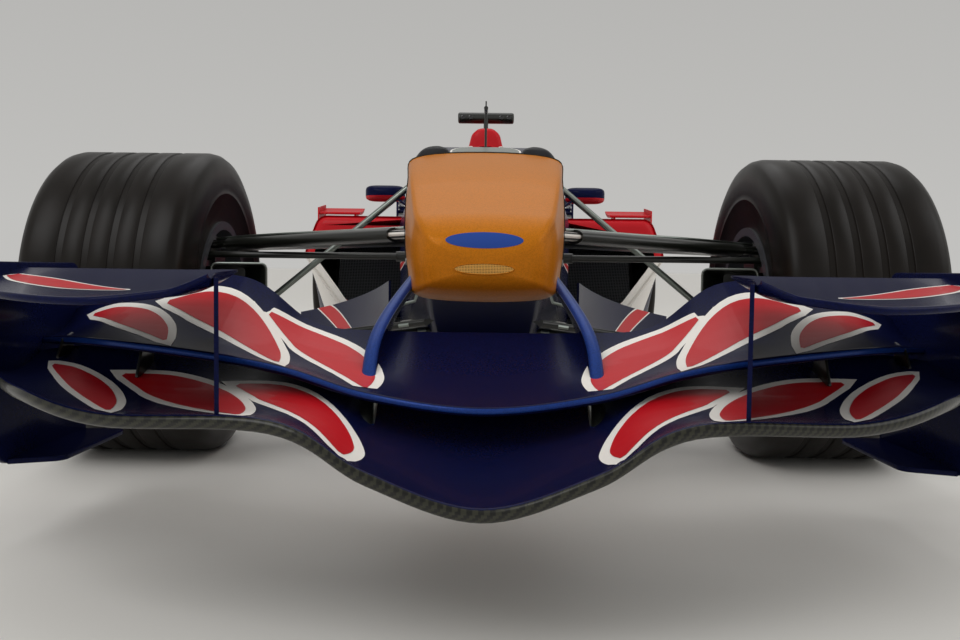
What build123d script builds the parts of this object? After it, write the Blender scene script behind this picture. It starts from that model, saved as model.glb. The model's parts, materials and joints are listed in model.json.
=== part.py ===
from build123d import *
from functools import cache
import math
import os

# Open wheel single-seater racing car of the grooved-tyre years, in millimetres.
# X points to the car's left side, Y to its tail and Z up; the floor is at Z = 0.
# The car faces -Y, and its middle in length is at Y = 0.

# Overall layout
WHEELBASE = 3030
FRONT_OVERHANG = 1130
REAR_OVERHANG = 490
OVERALL_WIDTH = 1800
HALF_WIDTH = OVERALL_WIDTH / 2
LENGTH = FRONT_OVERHANG + WHEELBASE + REAR_OVERHANG
FRONT_AXLE = FRONT_OVERHANG - LENGTH / 2
REAR_AXLE = FRONT_AXLE + WHEELBASE
TAIL = REAR_AXLE + REAR_OVERHANG

# Wheels and tyres
TYRE_DIAMETER = 660
FRONT_TYRE_WIDTH = 327
REAR_TYRE_WIDTH = 367
REAR_TYRE_GAP = 33
REAR_BODY_HALF_WIDTH = HALF_WIDTH - REAR_TYRE_WIDTH - REAR_TYRE_GAP
TYRE_FLATS = 48
RIM_INSET = 14
BEAD_RADIUS = 169
FLANGE_RADIUS = 181
FLANGE_THICKNESS = 5
RIM_WALL = 6
SPOKES = 10
SPOKE_DEPTH = 20
SPOKE_WIDTH = 20
HUB_RADIUS = 42
DISC_RADIUS = 130
DISC_THICKNESS = 28
STUB_RADIUS = 22
RUNNING_CLEARANCE = 0.05
AXLE_HEIGHT = TYRE_DIAMETER / 2

# Underside
REFERENCE_PLANE = 45
STEP_PLANE = 95
PLANK_THICKNESS = 10
PANEL = 8
REFERENCE_HALF_WIDTH = 200
FLOOR_HALF_WIDTH = 690
PLANK_HALF_WIDTH = 150
FLOOR_TOP = REFERENCE_PLANE + PANEL
STEP_TOP = STEP_PLANE + PANEL

# Stations along the car
FRONT_BULKHEAD = FRONT_AXLE - 270
NOSE_TIP = FRONT_AXLE - 725
SPLITTER_FRONT = FRONT_AXLE + 450
COCKPIT_FRONT = FRONT_AXLE + 775
COCKPIT_REAR = FRONT_AXLE + 1560
ROLL_HOOP = FRONT_AXLE + 1625
SIDEPOD_FRONT = FRONT_AXLE + 1300
ENGINE_LENGTH = 580
ENGINE_REAR = REAR_AXLE - 455
ENGINE_FRONT = ENGINE_REAR - ENGINE_LENGTH
GEARBOX_REAR = REAR_AXLE + 185
COVER_REAR = REAR_AXLE - 130
SIDEPOD_REAR = REAR_AXLE - 235
FLOOR_REAR = REAR_AXLE - 180
DIFFUSER_REAR = REAR_AXLE + 350

# Suspension: ball joints and inboard ends are (x, y from their axle, z) on the left side
UPPER_BALL = (HALF_WIDTH - 288, 0, 458)
LOWER_BALL = (HALF_WIDTH - 262, 0, 222)
REAR_UPPER_BALL = (HALF_WIDTH - 325, 0, 432)
REAR_LOWER_BALL = (HALF_WIDTH - 312, 0, 212)
FRONT_UPPER_LEGS = [(UPPER_BALL, (130, -255, 480)), (UPPER_BALL, (150, 290, 484))]
FRONT_LOWER_LEGS = [(LOWER_BALL, (110, -215, 305)), (LOWER_BALL, (130, 330, 255))]
REAR_UPPER_LEGS = [(REAR_UPPER_BALL, (60, -330, 372)), (REAR_UPPER_BALL, (40, 150, 350))]
REAR_LOWER_LEGS = [(REAR_LOWER_BALL, (60, -300, 168)), (REAR_LOWER_BALL, (40, 150, 225))]
REAR_TOE_LINK = ((HALF_WIDTH - 340, 80, 290), (40, 150, 290))
FRONT_PUSHROD = ((HALF_WIDTH - 328, 0, 262), (130, 0, 625))
REAR_PUSHROD = ((HALF_WIDTH - 348, -62, 250), (60, -62, 420))
ARM_CHORD = 46
ARM_THICKNESS = 15
ROD_CHORD = 30
ROD_THICKNESS = 14
APEX_RADIUS = 20
APEX_HEIGHT = 26
PIN_RADIUS = 8
BALL_GAP = 0.3

# Steering
STEERING_ARM = 80
STEERING_PIN_RADIUS = 5
EYE_BORE = 10
EYE_RADIUS = 17
EYE_HEIGHT = 14
RACK_HEIGHT = 437
RACK_RADIUS = 11
COLUMN_RADIUS = 12
COLUMN_TILT = 12
STEERING_WHEEL_STATION = COCKPIT_FRONT + 190
STEERING_WHEEL_HEIGHT = 600

# Thin shells and plates
SHELL_WALL = 6
WING_PLATE = 8


def across(station, corners, radius):
    """Closed rounded outline square to the car's length: corners are (x, z)."""
    plane = Plane((0, station, 0), x_dir=(1, 0, 0), z_dir=(0, -1, 0))
    return plane * FilletPolyline(*corners, radius=radius, close=True)


def both_sides(half):
    """Corners of a symmetric outline from those of its left half, top to bottom."""
    return [*half, *[(-x, z) for x, z in reversed(half)]]


def skin(outlines):
    """Solid stretched over outlines by straight lines from each to the next."""
    return Solid.make_loft(list(outlines), True)


def eased(rows, steps):
    """Rows of numbers, with steps of an even curve through them between each two."""
    result = []
    for number in range(len(rows) - 1):
        before = rows[max(number - 1, 0)]
        start, end = rows[number], rows[number + 1]
        after = rows[min(number + 2, len(rows) - 1)]
        for step in range(steps):
            t = step / steps
            result.append([curve_value(t, *four) for four in zip(before, start, end, after)])
    return [*result, list(rows[-1])]


def curve_value(t, before, start, end, after):
    """Point on a cubic from start to end, whose slopes come from the points around."""
    slope_start, slope_end = (end - before) / 2, (after - start) / 2
    rise = end - start
    return (
        start
        + slope_start * t
        + (3 * rise - 2 * slope_start - slope_end) * t**2
        + (slope_start + slope_end - 2 * rise) * t**3
    )


def eased_sections(table, steps):
    """Stations (y, point, point, ...) with others eased in between them."""
    flat = [[row[0], *[value for point in row[1:] for value in point]] for row in table]
    return [
        (row[0], *[(row[i], row[i + 1]) for i in range(1, len(row), 2)])
        for row in eased(flat, steps)
    ]


def block(x, y, z):
    """Box between pairs of limits."""
    size = (x[1] - x[0], y[1] - y[0], z[1] - z[0])
    middle = ((x[0] + x[1]) / 2, (y[0] + y[1]) / 2, (z[0] + z[1]) / 2)
    return Pos(*middle) * Box(*size)


def side_plate(x, points, thickness):
    """Plate square to X, centred on x: points are (y, z)."""
    plane = Plane((x, 0, 0), x_dir=(0, 1, 0), z_dir=(1, 0, 0))
    return extrude(plane * make_face(Polyline(*points, close=True)), thickness / 2, both=True)


def flat_plate(low, high, points):
    """Plate from the height low to high: points are (x, y)."""
    plane = Plane((0, 0, low))
    return extrude(plane * make_face(Polyline(*points, close=True)), high - low)


def rod(start, end, radius):
    way = Vector(*end) - Vector(*start)
    return Plane(origin=start, z_dir=way.normalized()) * Solid.make_cylinder(radius, way.length)


def blade_face(plane, chord, thickness):
    """Teardrop section in a plane: round leading edge at -x, thin trailing edge at +x."""
    nose = thickness / 2
    front = -chord / 2
    edges = [
        ThreePointArc((front + nose, -nose), (front, 0), (front + nose, nose)),
        Line((front + nose, nose), (chord / 2, 1)),
        Line((chord / 2, 1), (chord / 2, -1)),
        Line((chord / 2, -1), (front + nose, -nose)),
    ]
    return plane * Face(Wire(edges))


def arm(start, end, chord, thickness):
    """Aerofoil arm from start to end, its chord along the car."""
    way = Vector(*end) - Vector(*start)
    direction = way.normalized()
    along = Vector(0, 1, 0)
    flat = (along - direction * along.dot(direction)).normalized()
    plane = Plane(origin=start, x_dir=flat, z_dir=direction)
    return Solid.extrude(blade_face(plane, chord, thickness), way)


def at_axle(point, axle):
    return (point[0], point[1] + axle, point[2])


def pair(shape):
    """The solids of a left-side shape and their mirror images on the right."""
    return [*shape.solids(), *mirror(shape, about=Plane.YZ).solids()]


def turned(shape, side):
    """A left-side shape as it is, or its mirror image for the right side."""
    return shape if side > 0 else mirror(shape, about=Plane.YZ)


def joined(first, *others):
    for other in others:
        first = first + other
    return first


def cut(first, *others):
    for other in others:
        first = first - other
    return first


def largest(shape):
    return max(shape.solids(), key=lambda solid: solid.volume)


# Survival cell: station, then (x, z) of the top edge, shoulder, lower side and bottom edge
CELL_RADIUS = 26
CELL_SECTIONS = [
    (FRONT_BULKHEAD, (118, 630), (150, 575), (150, 420), (112, 372)),
    (FRONT_AXLE, (125, 665), (164, 600), (164, 380), (120, 305)),
    (FRONT_AXLE + 400, (150, 692), (198, 615), (198, 300), (120, 200)),
    (COCKPIT_FRONT, (190, 690), (250, 590), (250, 190), (150, 80)),
    (COCKPIT_FRONT + 350, (252, 640), (292, 560), (286, 150), (220, 40)),
    (COCKPIT_REAR, (250, 668), (300, 570), (290, 120), (240, 40)),
    (ENGINE_FRONT, (205, 610), (280, 520), (280, 120), (240, 40)),
]


@cache
def cell_body():
    sections = eased_sections(CELL_SECTIONS, 2)
    body = skin(across(row[0], both_sides(row[1:]), CELL_RADIUS) for row in sections)
    return body - floor_plate() - block(
        (-400, 400), (FRONT_BULKHEAD, ENGINE_FRONT), (-100, FLOOR_TOP)
    )


# Cockpit opening: (x, y) on the left side from front to rear, at the rim and at the floor
COCKPIT_FLOOR = 110
COCKPIT_RIM = 640
DASH_HEIGHT = 500
ROOM_TOP = 900


@cache
def cockpit_room():
    """The driver's room, open at the top, with the leg tunnel ahead of it."""
    front, rear = COCKPIT_FRONT, COCKPIT_REAR - 20
    rim = [(120, front + 10), (205, front + 330), (205, rear - 60), (150, rear)]
    low = [(110, front + 10), (185, front + 330), (185, rear - 200), (130, rear - 130)]
    outlines = []
    for height, half in ((ROOM_TOP, rim), (COCKPIT_RIM, rim), (COCKPIT_FLOOR, low)):
        outline = FilletPolyline(*both_sides(half), radius=38, close=True)
        outlines.append(Pos(0, 0, height) * outline)
    tunnel_corners = [
        (FRONT_AXLE + 120, [(100, 560), (100, 380)]),
        (COCKPIT_FRONT + 80, [(150, DASH_HEIGHT), (150, 190)]),
    ]
    tunnel = skin([across(y, both_sides(half), 30) for y, half in tunnel_corners])
    return skin(outlines) + tunnel


def rack_bore():
    station = FRONT_AXLE - STEERING_ARM
    radius = RACK_RADIUS + RUNNING_CLEARANCE
    return rod((-300, station, RACK_HEIGHT), (300, station, RACK_HEIGHT), radius)


def column_line(distance):
    """Point on the steering column's axis, this far ahead of the steering wheel."""
    tilt = math.radians(COLUMN_TILT)
    return (
        0,
        STEERING_WHEEL_STATION - distance * math.cos(tilt),
        STEERING_WHEEL_HEIGHT - distance * math.sin(tilt),
    )


COLUMN_LENGTH = 250


def survival_cell():
    bore = rod(column_line(20), column_line(COLUMN_LENGTH + 2), COLUMN_RADIUS + RUNNING_CLEARANCE)
    return largest(cut(cell_body(), cockpit_room(), rack_bore(), bore))


# Nose cone: station, then (x, z) of the top edge, shoulder, lower side and bottom edge
NOSE_SECTIONS = [
    (NOSE_TIP, (60, 448), (84, 432), (84, 402), (60, 388)),
    (NOSE_TIP + 90, (78, 503), (114, 470), (116, 400), (84, 366)),
    (NOSE_TIP + 260, (100, 572), (134, 528), (136, 408), (98, 366)),
    (FRONT_BULKHEAD, (118, 630), (150, 575), (150, 420), (112, 372)),
]
NOSE_RADII = (14, 26, 26, CELL_RADIUS)


@cache
def nose_cone():
    rows = [(*row, (radius, 0)) for row, radius in zip(NOSE_SECTIONS, NOSE_RADII)]
    return skin(
        across(row[0], both_sides(row[1:-1]), row[-1][0]) for row in eased_sections(rows, 3)
    )


# Front wing tables: x, lead y, lead z, trail y, trail z, from the middle to the left end
WING_LEAD = -LENGTH / 2
MAIN_THICKNESS = 16
MAIN_SAG = 18
MAIN_STATIONS = [
    (0, WING_LEAD + MAIN_THICKNESS / 2, 157, WING_LEAD + 310, 222),
    (120, WING_LEAD + 12, 193, WING_LEAD + 310, 226),
    (225, WING_LEAD + 34, 242, WING_LEAD + 312, 268),
    (430, WING_LEAD + 92, 238, WING_LEAD + 345, 285),
    (560, WING_LEAD + 170, 256, WING_LEAD + 400, 293),
    (688, WING_LEAD + 350, 258, WING_LEAD + 490, 276),
]
FLAP_THICKNESS = 12
FLAP_SAG = 14
FLAP_STATIONS = [
    (0, WING_LEAD + 190, 236, WING_LEAD + 430, 316),
    (145, WING_LEAD + 215, 250, WING_LEAD + 430, 317),
    (250, WING_LEAD + 222, 280, WING_LEAD + 430, 328),
    (355, WING_LEAD + 235, 297, WING_LEAD + 440, 394),
    (535, WING_LEAD + 320, 306, WING_LEAD + 520, 384),
    (688, WING_LEAD + 505, 292, WING_LEAD + 620, 336),
]
FENCE_START = (289.5, WING_LEAD + 65)
FENCE_TOE = 16.4
FENCE_THICKNESS = 5
ENDPLATE_X = 688
WINGLET_THICKNESS = 9
WINGLET_SAG = 6
WINGLET_STATIONS = [
    (300, WING_LEAD + 70, 398, WING_LEAD + 92, 400),
    (322, WING_LEAD + 48, 386, WING_LEAD + 185, 402),
    (345, WING_LEAD + 40, 380, WING_LEAD + 350, 405),
    (430, WING_LEAD + 42, 372, WING_LEAD + 380, 404),
    (560, WING_LEAD + 120, 376, WING_LEAD + 410, 404),
    (688, WING_LEAD + 290, 386, WING_LEAD + 440, 404),
]


def wing_profile(x, lead, trail, sag, thickness):
    """Wing section square to X: lead and trail are (y, z), and it sags below their line."""
    chord = Vector(trail[0] - lead[0], trail[1] - lead[1])
    along = chord.normalized()
    up = Vector(-along.Y, along.X)
    half = thickness / 2
    middle = Vector(*lead) + chord * 0.42 - up * sag
    lead_top, lead_low = Vector(*lead) + up * half, Vector(*lead) - up * half
    trail_top, trail_low = Vector(*trail) + up * 1.5, Vector(*trail) - up * 1.5
    edges = [
        ThreePointArc(lead_low, Vector(*lead) - along * half, lead_top),
        ThreePointArc(lead_top, middle + up * half, trail_top),
        Line(trail_top, trail_low),
        ThreePointArc(trail_low, middle - up * half, lead_low),
    ]
    return Plane((x, 0, 0), x_dir=(0, 1, 0), z_dir=(1, 0, 0)) * Wire(edges)


def mirrored(table):
    """Stations from the right end to the left end, from those of the left half."""
    return [(-row[0], *row[1:]) for row in reversed(table) if row[0] > 0] + list(table)


def wing(table, sag, thickness, steps=3):
    return skin(
        wing_profile(x, (lead_y, lead_z), (trail_y, trail_z), sag, thickness)
        for x, lead_y, lead_z, trail_y, trail_z in eased(table, steps)
    )


@cache
def main_plane():
    return wing(mirrored(MAIN_STATIONS), MAIN_SAG, MAIN_THICKNESS)


# Nose pylons: height, x of the middle, y of the leading edge, chord
PYLON_STATIONS = [
    (420, 95, NOSE_TIP + 140, 250),
    (310, 152, NOSE_TIP - 60, 230),
    (170, 140, NOSE_TIP - 235, 190),
]
PYLON_THICKNESS = 14


@cache
def pylon():
    outlines = []
    for height, x, lead, chord in eased(PYLON_STATIONS, 3):
        plane = Plane((x, lead + chord / 2, height), x_dir=(0, 1, 0), z_dir=(0, 0, 1))
        outlines.append(blade_face(plane, chord, PYLON_THICKNESS).outer_wire())
    return largest(cut(skin(outlines), nose_cone(), main_plane()))


@cache
def plain_flap():
    return wing(mirrored(FLAP_STATIONS), FLAP_SAG, FLAP_THICKNESS)


def flap():
    return cut(plain_flap(), *pair(pylon()))


@cache
def fence():
    """Left fence between the main plane and the winglet, toed out along the air's way."""
    points = [(0, 225), (12, 398), (205, 392), (255, 250)]
    upright = Rot(0, 0, -FENCE_TOE) * side_plate(0, points, FENCE_THICKNESS)
    return largest(cut(Pos(*FENCE_START, 0) * upright, main_plane(), plain_flap(), winglet()))


@cache
def winglet():
    return wing(WINGLET_STATIONS, WINGLET_SAG, WINGLET_THICKNESS)


def endplate():
    front, rear = WING_LEAD + 290, WING_LEAD + 660
    points = [
        (front, 200),
        (front - 20, 300),
        (front + 20, 414),
        (rear - 40, 414),
        (rear, 360),
        (rear - 10, 120),
        (front + 90, 120),
    ]
    upright = side_plate(ENDPLATE_X + WING_PLATE / 2, points, WING_PLATE)
    foot = block((ENDPLATE_X - 70, ENDPLATE_X), (front + 110, rear - 12), (120, 128))
    return upright + foot


def kingpin():
    """Frame on the left kingpin: origin at the lower ball joint, Z to the upper one."""
    low = Vector(LOWER_BALL[0], FRONT_AXLE, LOWER_BALL[2])
    high = Vector(UPPER_BALL[0], FRONT_AXLE, UPPER_BALL[2])
    return Plane(origin=low, x_dir=(0, 1, 0), z_dir=(high - low).normalized())


KINGPIN_LENGTH = math.hypot(LOWER_BALL[0] - UPPER_BALL[0], UPPER_BALL[2] - LOWER_BALL[2])


def apex(height_on_pin):
    """Eye of a front wishbone, square to the kingpin."""
    eye = Cylinder(APEX_RADIUS, APEX_HEIGHT)
    return kingpin() * (Pos(0, 0, height_on_pin) * eye)


def wishbone(legs, axle, eye):
    arms = [
        arm(at_axle(a, axle), at_axle(b, axle), ARM_CHORD, ARM_THICKNESS) for a, b in legs
    ]
    return joined(eye, *arms)


def kingpin_bore():
    bore = Cylinder(PIN_RADIUS + RUNNING_CLEARANCE, 3 * KINGPIN_LENGTH)
    return kingpin() * bore


PUSHROD_MOUNT = (HALF_WIDTH - 352, HALF_WIDTH - 316)


def front_upper_wishbone():
    bone = wishbone(FRONT_UPPER_LEGS, FRONT_AXLE, apex(KINGPIN_LENGTH))
    return largest(cut(bone, kingpin_bore(), cell_body(), nose_cone()))


@cache
def front_lower_wishbone():
    bone = wishbone(FRONT_LOWER_LEGS, FRONT_AXLE, apex(0))
    mount = block(PUSHROD_MOUNT, (FRONT_AXLE - 34, FRONT_AXLE + 34), (224, 250))
    return largest(cut(bone + mount, kingpin_bore(), cell_body()))


def front_pushrod():
    ends = [at_axle(point, FRONT_AXLE) for point in FRONT_PUSHROD]
    return largest(cut(arm(*ends, ROD_CHORD, ROD_THICKNESS), cell_body(), front_lower_wishbone()))


def rear_apex(ball):
    return Pos(ball[0], REAR_AXLE, ball[2]) * Cylinder(APEX_RADIUS, APEX_HEIGHT)


@cache
def rear_upper_wishbone():
    bone = wishbone(REAR_UPPER_LEGS, REAR_AXLE, rear_apex(REAR_UPPER_BALL))
    return largest(cut(bone, gearbox()))


@cache
def rear_lower_wishbone():
    bone = wishbone(REAR_LOWER_LEGS, REAR_AXLE, rear_apex(REAR_LOWER_BALL))
    return largest(cut(bone, gearbox()))


def rear_rod(ends):
    points = [at_axle(point, REAR_AXLE) for point in ends]
    return largest(cut(arm(*points, ROD_CHORD, ROD_THICKNESS), gearbox(), rear_upright()))


# Uprights
UPRIGHT_CLEARANCE = 10
STUB_END = 62
CALIPER_GAP = 5


@cache
def front_upright():
    """Upright between the ball joints, with its kingpins, stub axle, steering arm and duct."""
    low = APEX_HEIGHT / 2 + UPRIGHT_CLEARANCE
    high = KINGPIN_LENGTH - APEX_HEIGHT / 2 - UPRIGHT_CLEARANCE
    outlines = [
        Pos(0, 0, low) * Rectangle(84, 44).wire(),
        Pos(0, 0, KINGPIN_LENGTH / 2 - 10) * Rectangle(116, 56).wire(),
        Pos(0, 0, high) * Rectangle(76, 44).wire(),
    ]
    post = kingpin() * skin(outlines)
    boss_length = KINGPIN_LENGTH - APEX_HEIGHT - 2 * BALL_GAP
    boss = kingpin() * (Pos(0, 0, KINGPIN_LENGTH / 2) * Cylinder(13, boss_length))
    pin_length = KINGPIN_LENGTH + APEX_HEIGHT
    pin = kingpin() * (Pos(0, 0, KINGPIN_LENGTH / 2) * Cylinder(PIN_RADIUS, pin_length))
    stub = rod(
        (UPPER_BALL[0] + 10, FRONT_AXLE, AXLE_HEIGHT),
        (front_centre() + STUB_END, FRONT_AXLE, AXLE_HEIGHT),
        STUB_RADIUS,
    )
    pin_station = FRONT_AXLE - STEERING_ARM
    lever = block(
        (UPPER_BALL[0] - 12, UPPER_BALL[0] + 12),
        (pin_station - 8, FRONT_AXLE),
        (RACK_HEIGHT - 26, RACK_HEIGHT - 13),
    )
    steering_pin = rod(
        (UPPER_BALL[0], pin_station, RACK_HEIGHT - 20),
        (UPPER_BALL[0], pin_station, RACK_HEIGHT + 10),
        STEERING_PIN_RADIUS,
    )
    return joined(post, boss, pin, stub, lever, steering_pin, caliper(), brake_duct())


def front_centre():
    return HALF_WIDTH - FRONT_TYRE_WIDTH / 2


def rear_centre():
    return HALF_WIDTH - REAR_TYRE_WIDTH / 2


DISC_X = HALF_WIDTH - 218


def caliper():
    """Brake caliper bridging the disc behind the axle, joined to the upright."""
    low, high = DISC_X - DISC_THICKNESS / 2, DISC_X + DISC_THICKNESS / 2
    rear = FRONT_AXLE + 150
    body = block(
        (low - 24, high + 22), (FRONT_AXLE + 72, rear), (AXLE_HEIGHT - 55, AXLE_HEIGHT + 55)
    )
    barrel = BEAD_RADIUS - RIM_WALL - CALIPER_GAP
    swept = Plane((0, FRONT_AXLE, AXLE_HEIGHT), z_dir=(1, 0, 0)) * Cylinder(barrel, 3000)
    slot = block(
        (low - CALIPER_GAP, high + CALIPER_GAP),
        (FRONT_AXLE, FRONT_AXLE + DISC_RADIUS + CALIPER_GAP),
        (0, 700),
    )
    bridge = block(
        (LOWER_BALL[0] - 20, low - CALIPER_GAP), (FRONT_AXLE + 20, FRONT_AXLE + 90),
        (AXLE_HEIGHT - 35, AXLE_HEIGHT + 35),
    )
    return (body & swept) - slot + bridge


# Brake duct: station ahead of the axle, then x limits and z limits of its outline
DUCT_SECTIONS = [
    (-205, (HALF_WIDTH - 460, HALF_WIDTH - 348), (342, 418)),
    (-110, (HALF_WIDTH - 395, HALF_WIDTH - 325), (345, 412)),
    (-30, (HALF_WIDTH - 312, HALF_WIDTH - 288), (350, 405)),
]
DUCT_WALL = 3


def brake_duct():
    outer, inner = [], []
    for offset, (x_in, x_out), (low, high) in DUCT_SECTIONS:
        for outlines, inset in ((outer, 0), (inner, DUCT_WALL)):
            corners = [
                (x_in + inset, low + inset),
                (x_out - inset, low + inset),
                (x_out - inset, high - inset),
                (x_in + inset, high - inset),
            ]
            radius = 11 - inset
            outlines.append(across(FRONT_AXLE + offset, corners, radius))
    return skin(outer) - skin(inner[:2])


def track_rod_eye(side):
    place = Pos(side * UPPER_BALL[0], FRONT_AXLE - STEERING_ARM, RACK_HEIGHT)
    return place * (Cylinder(EYE_RADIUS, EYE_HEIGHT) - Cylinder(EYE_BORE, 2 * EYE_HEIGHT))


def steering_rack():
    """Rack with both track rods and their eyes, which slide together across the car."""
    station = FRONT_AXLE - STEERING_ARM
    half = 190
    bar = rod((-half, station, RACK_HEIGHT), (half, station, RACK_HEIGHT), RACK_RADIUS)
    reach = UPPER_BALL[0] - EYE_BORE - 3
    rods = [
        arm((s * (half - 2), station, RACK_HEIGHT), (s * reach, station, RACK_HEIGHT), 34, 14)
        for s in (-1, 1)
    ]
    return joined(bar, *rods, track_rod_eye(-1), track_rod_eye(1))


@cache
def rear_upright():
    low = REAR_LOWER_BALL[2] + APEX_HEIGHT / 2
    high = REAR_UPPER_BALL[2] - APEX_HEIGHT / 2
    outlines = [
        Pos(REAR_LOWER_BALL[0], REAR_AXLE, low) * Rectangle(48, 120).wire(),
        Pos(REAR_LOWER_BALL[0] - 4, REAR_AXLE, AXLE_HEIGHT) * Rectangle(56, 190).wire(),
        Pos(REAR_UPPER_BALL[0], REAR_AXLE, high) * Rectangle(46, 90).wire(),
    ]
    post = skin(outlines)
    bore = Plane((0, REAR_AXLE, AXLE_HEIGHT), z_dir=(1, 0, 0)) * Cylinder(
        STUB_RADIUS + RUNNING_CLEARANCE, 3000
    )
    return post - bore


# Wheels, each made about the X axis with its outer side at +x and then set in place


def turned_about_x(points):
    face = make_face(Polyline(*points, close=True))
    return revolve(face, Axis.X, 360)


# Left half of a tyre's outline: distance in from its widest, distance below its tread
TYRE_SHOULDER = [(26, 0), (8, 12), (0, 52)]


def tyre(width):
    """Tyre with flats around it, one of which it stands on, and a round bore."""
    half, radius = width / 2, TYRE_DIAMETER / 2
    side = [(half - inset, radius - drop) for inset, drop in TYRE_SHOULDER]
    side.append((half - RIM_INSET, FLANGE_RADIUS))
    outlines = []
    for x, reach in [*[(-x, reach) for x, reach in reversed(side)], *side]:
        flats = RegularPolygon(
            reach, TYRE_FLATS, major_radius=False, rotation=180 / TYRE_FLATS
        )
        outlines.append((Plane((x, 0, 0), z_dir=(1, 0, 0)) * flats).wire())
    return skin(outlines) - rod((-width, 0, 0), (width, 0, 0), BEAD_RADIUS)


def rim(width, hub_inner, bore_radius):
    """Wheel rim: barrel with flanges, ten spokes and a hub with a central nut."""
    half = width / 2
    seat = half - RIM_INSET
    inner = BEAD_RADIUS - RIM_WALL
    barrel = turned_about_x(
        [
            (-seat, BEAD_RADIUS),
            (-seat, FLANGE_RADIUS),
            (-seat - FLANGE_THICKNESS, FLANGE_RADIUS),
            (-seat - FLANGE_THICKNESS, inner),
            (seat + FLANGE_THICKNESS, inner),
            (seat + FLANGE_THICKNESS, FLANGE_RADIUS),
            (seat, FLANGE_RADIUS),
            (seat, BEAD_RADIUS),
        ]
    )
    face = half - 74
    spokes = []
    for number in range(SPOKES):
        start = Plane((face, 0, HUB_RADIUS - 8), x_dir=(1, 0, 0), z_dir=(0, 0, 1))
        end = Plane((face + 30, 0, inner + 2), x_dir=(1, 0, 0), z_dir=(0, 0, 1))
        outlines = [
            start * Rectangle(SPOKE_DEPTH + 8, SPOKE_WIDTH).wire(),
            end * Rectangle(SPOKE_DEPTH, SPOKE_WIDTH + 10).wire(),
        ]
        spoke = skin(outlines)
        spokes.append(spoke.rotate(Axis.X, number * 360 / SPOKES))
    hub_high = face + 18
    hub = Plane((hub_inner, 0, 0), z_dir=(1, 0, 0)) * Solid.make_cylinder(
        HUB_RADIUS, hub_high - hub_inner
    )
    nut = Plane((hub_high, 0, 0), z_dir=(1, 0, 0)) * Solid.make_cone(34, 26, 34)
    wheel = joined(barrel, hub, nut, *spokes)
    if bore_radius:
        reach = 3 + STUB_END - hub_inner
        bore = Plane((hub_inner - 1, 0, 0), z_dir=(1, 0, 0)) * Solid.make_cylinder(
            bore_radius, reach
        )
        wheel = wheel - bore
    return wheel


def brake_disc(low, high):
    ring = Plane((low, 0, 0), z_dir=(1, 0, 0)) * Solid.make_cylinder(DISC_RADIUS, high - low)
    hole = Plane((low - 1, 0, 0), z_dir=(1, 0, 0)) * Solid.make_cylinder(
        HUB_RADIUS, high - low + 2
    )
    return ring - hole


def placed(shape, side, centre, axle):
    return turned(Pos(centre, axle, AXLE_HEIGHT) * shape, side)


def driveshaft():
    """Left driveshaft from the gearbox to the rear hub, with its inner joint."""
    shaft = rod((92, REAR_AXLE, AXLE_HEIGHT), (rear_hub_inner(), REAR_AXLE, AXLE_HEIGHT), STUB_RADIUS)
    joint = rod((118, REAR_AXLE, AXLE_HEIGHT), (185, REAR_AXLE, AXLE_HEIGHT), 44)
    return shaft + joint


def rear_hub_inner():
    return REAR_LOWER_BALL[0] + 34


def front_hub_inner():
    return UPPER_BALL[0] + 54


# Floor and underside


def floor_outline():
    half = [
        (0, SIDEPOD_FRONT - 70),
        (330, SIDEPOD_FRONT - 70),
        (610, SIDEPOD_FRONT + 30),
        (FLOOR_HALF_WIDTH, SIDEPOD_FRONT + 160),
        (FLOOR_HALF_WIDTH, REAR_AXLE - 520),
        (REAR_BODY_HALF_WIDTH, REAR_AXLE - 360),
        (REAR_BODY_HALF_WIDTH, FLOOR_REAR),
        (0, FLOOR_REAR),
    ]
    return [*half[1:-1], *[(-x, y) for x, y in reversed(half[1:-1])]]


@cache
def floor_plate():
    step = flat_plate(STEP_PLANE, STEP_TOP, floor_outline())
    inner = REFERENCE_HALF_WIDTH - PANEL
    trench = block((-inner, inner), (SPLITTER_FRONT, FLOOR_REAR + 1), (0, 200))
    wall = block(
        (-REFERENCE_HALF_WIDTH, REFERENCE_HALF_WIDTH),
        (SIDEPOD_FRONT - 70, FLOOR_REAR),
        (REFERENCE_PLANE, STEP_TOP),
    )
    tray = block(
        (-REFERENCE_HALF_WIDTH, REFERENCE_HALF_WIDTH),
        (SPLITTER_FRONT, FLOOR_REAR),
        (REFERENCE_PLANE, FLOOR_TOP),
    )
    return (step + wall) - trench + tray


def plank():
    return block(
        (-PLANK_HALF_WIDTH, PLANK_HALF_WIDTH),
        (SPLITTER_FRONT + 20, FLOOR_REAR - 10),
        (REFERENCE_PLANE - PLANK_THICKNESS, REFERENCE_PLANE),
    )


DIFFUSER_TOP = 225
TUNNEL_TOP = 240
TUNNEL_HALF_WIDTH = 150
STRAKE_COUNT = 4
STRAKE_THICKNESS = 6
STRAKE_PITCH = (REAR_BODY_HALF_WIDTH - 8 - TUNNEL_HALF_WIDTH) / (STRAKE_COUNT - 1)
STRAKES = [TUNNEL_HALF_WIDTH + number * STRAKE_PITCH for number in range(STRAKE_COUNT)]


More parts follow.
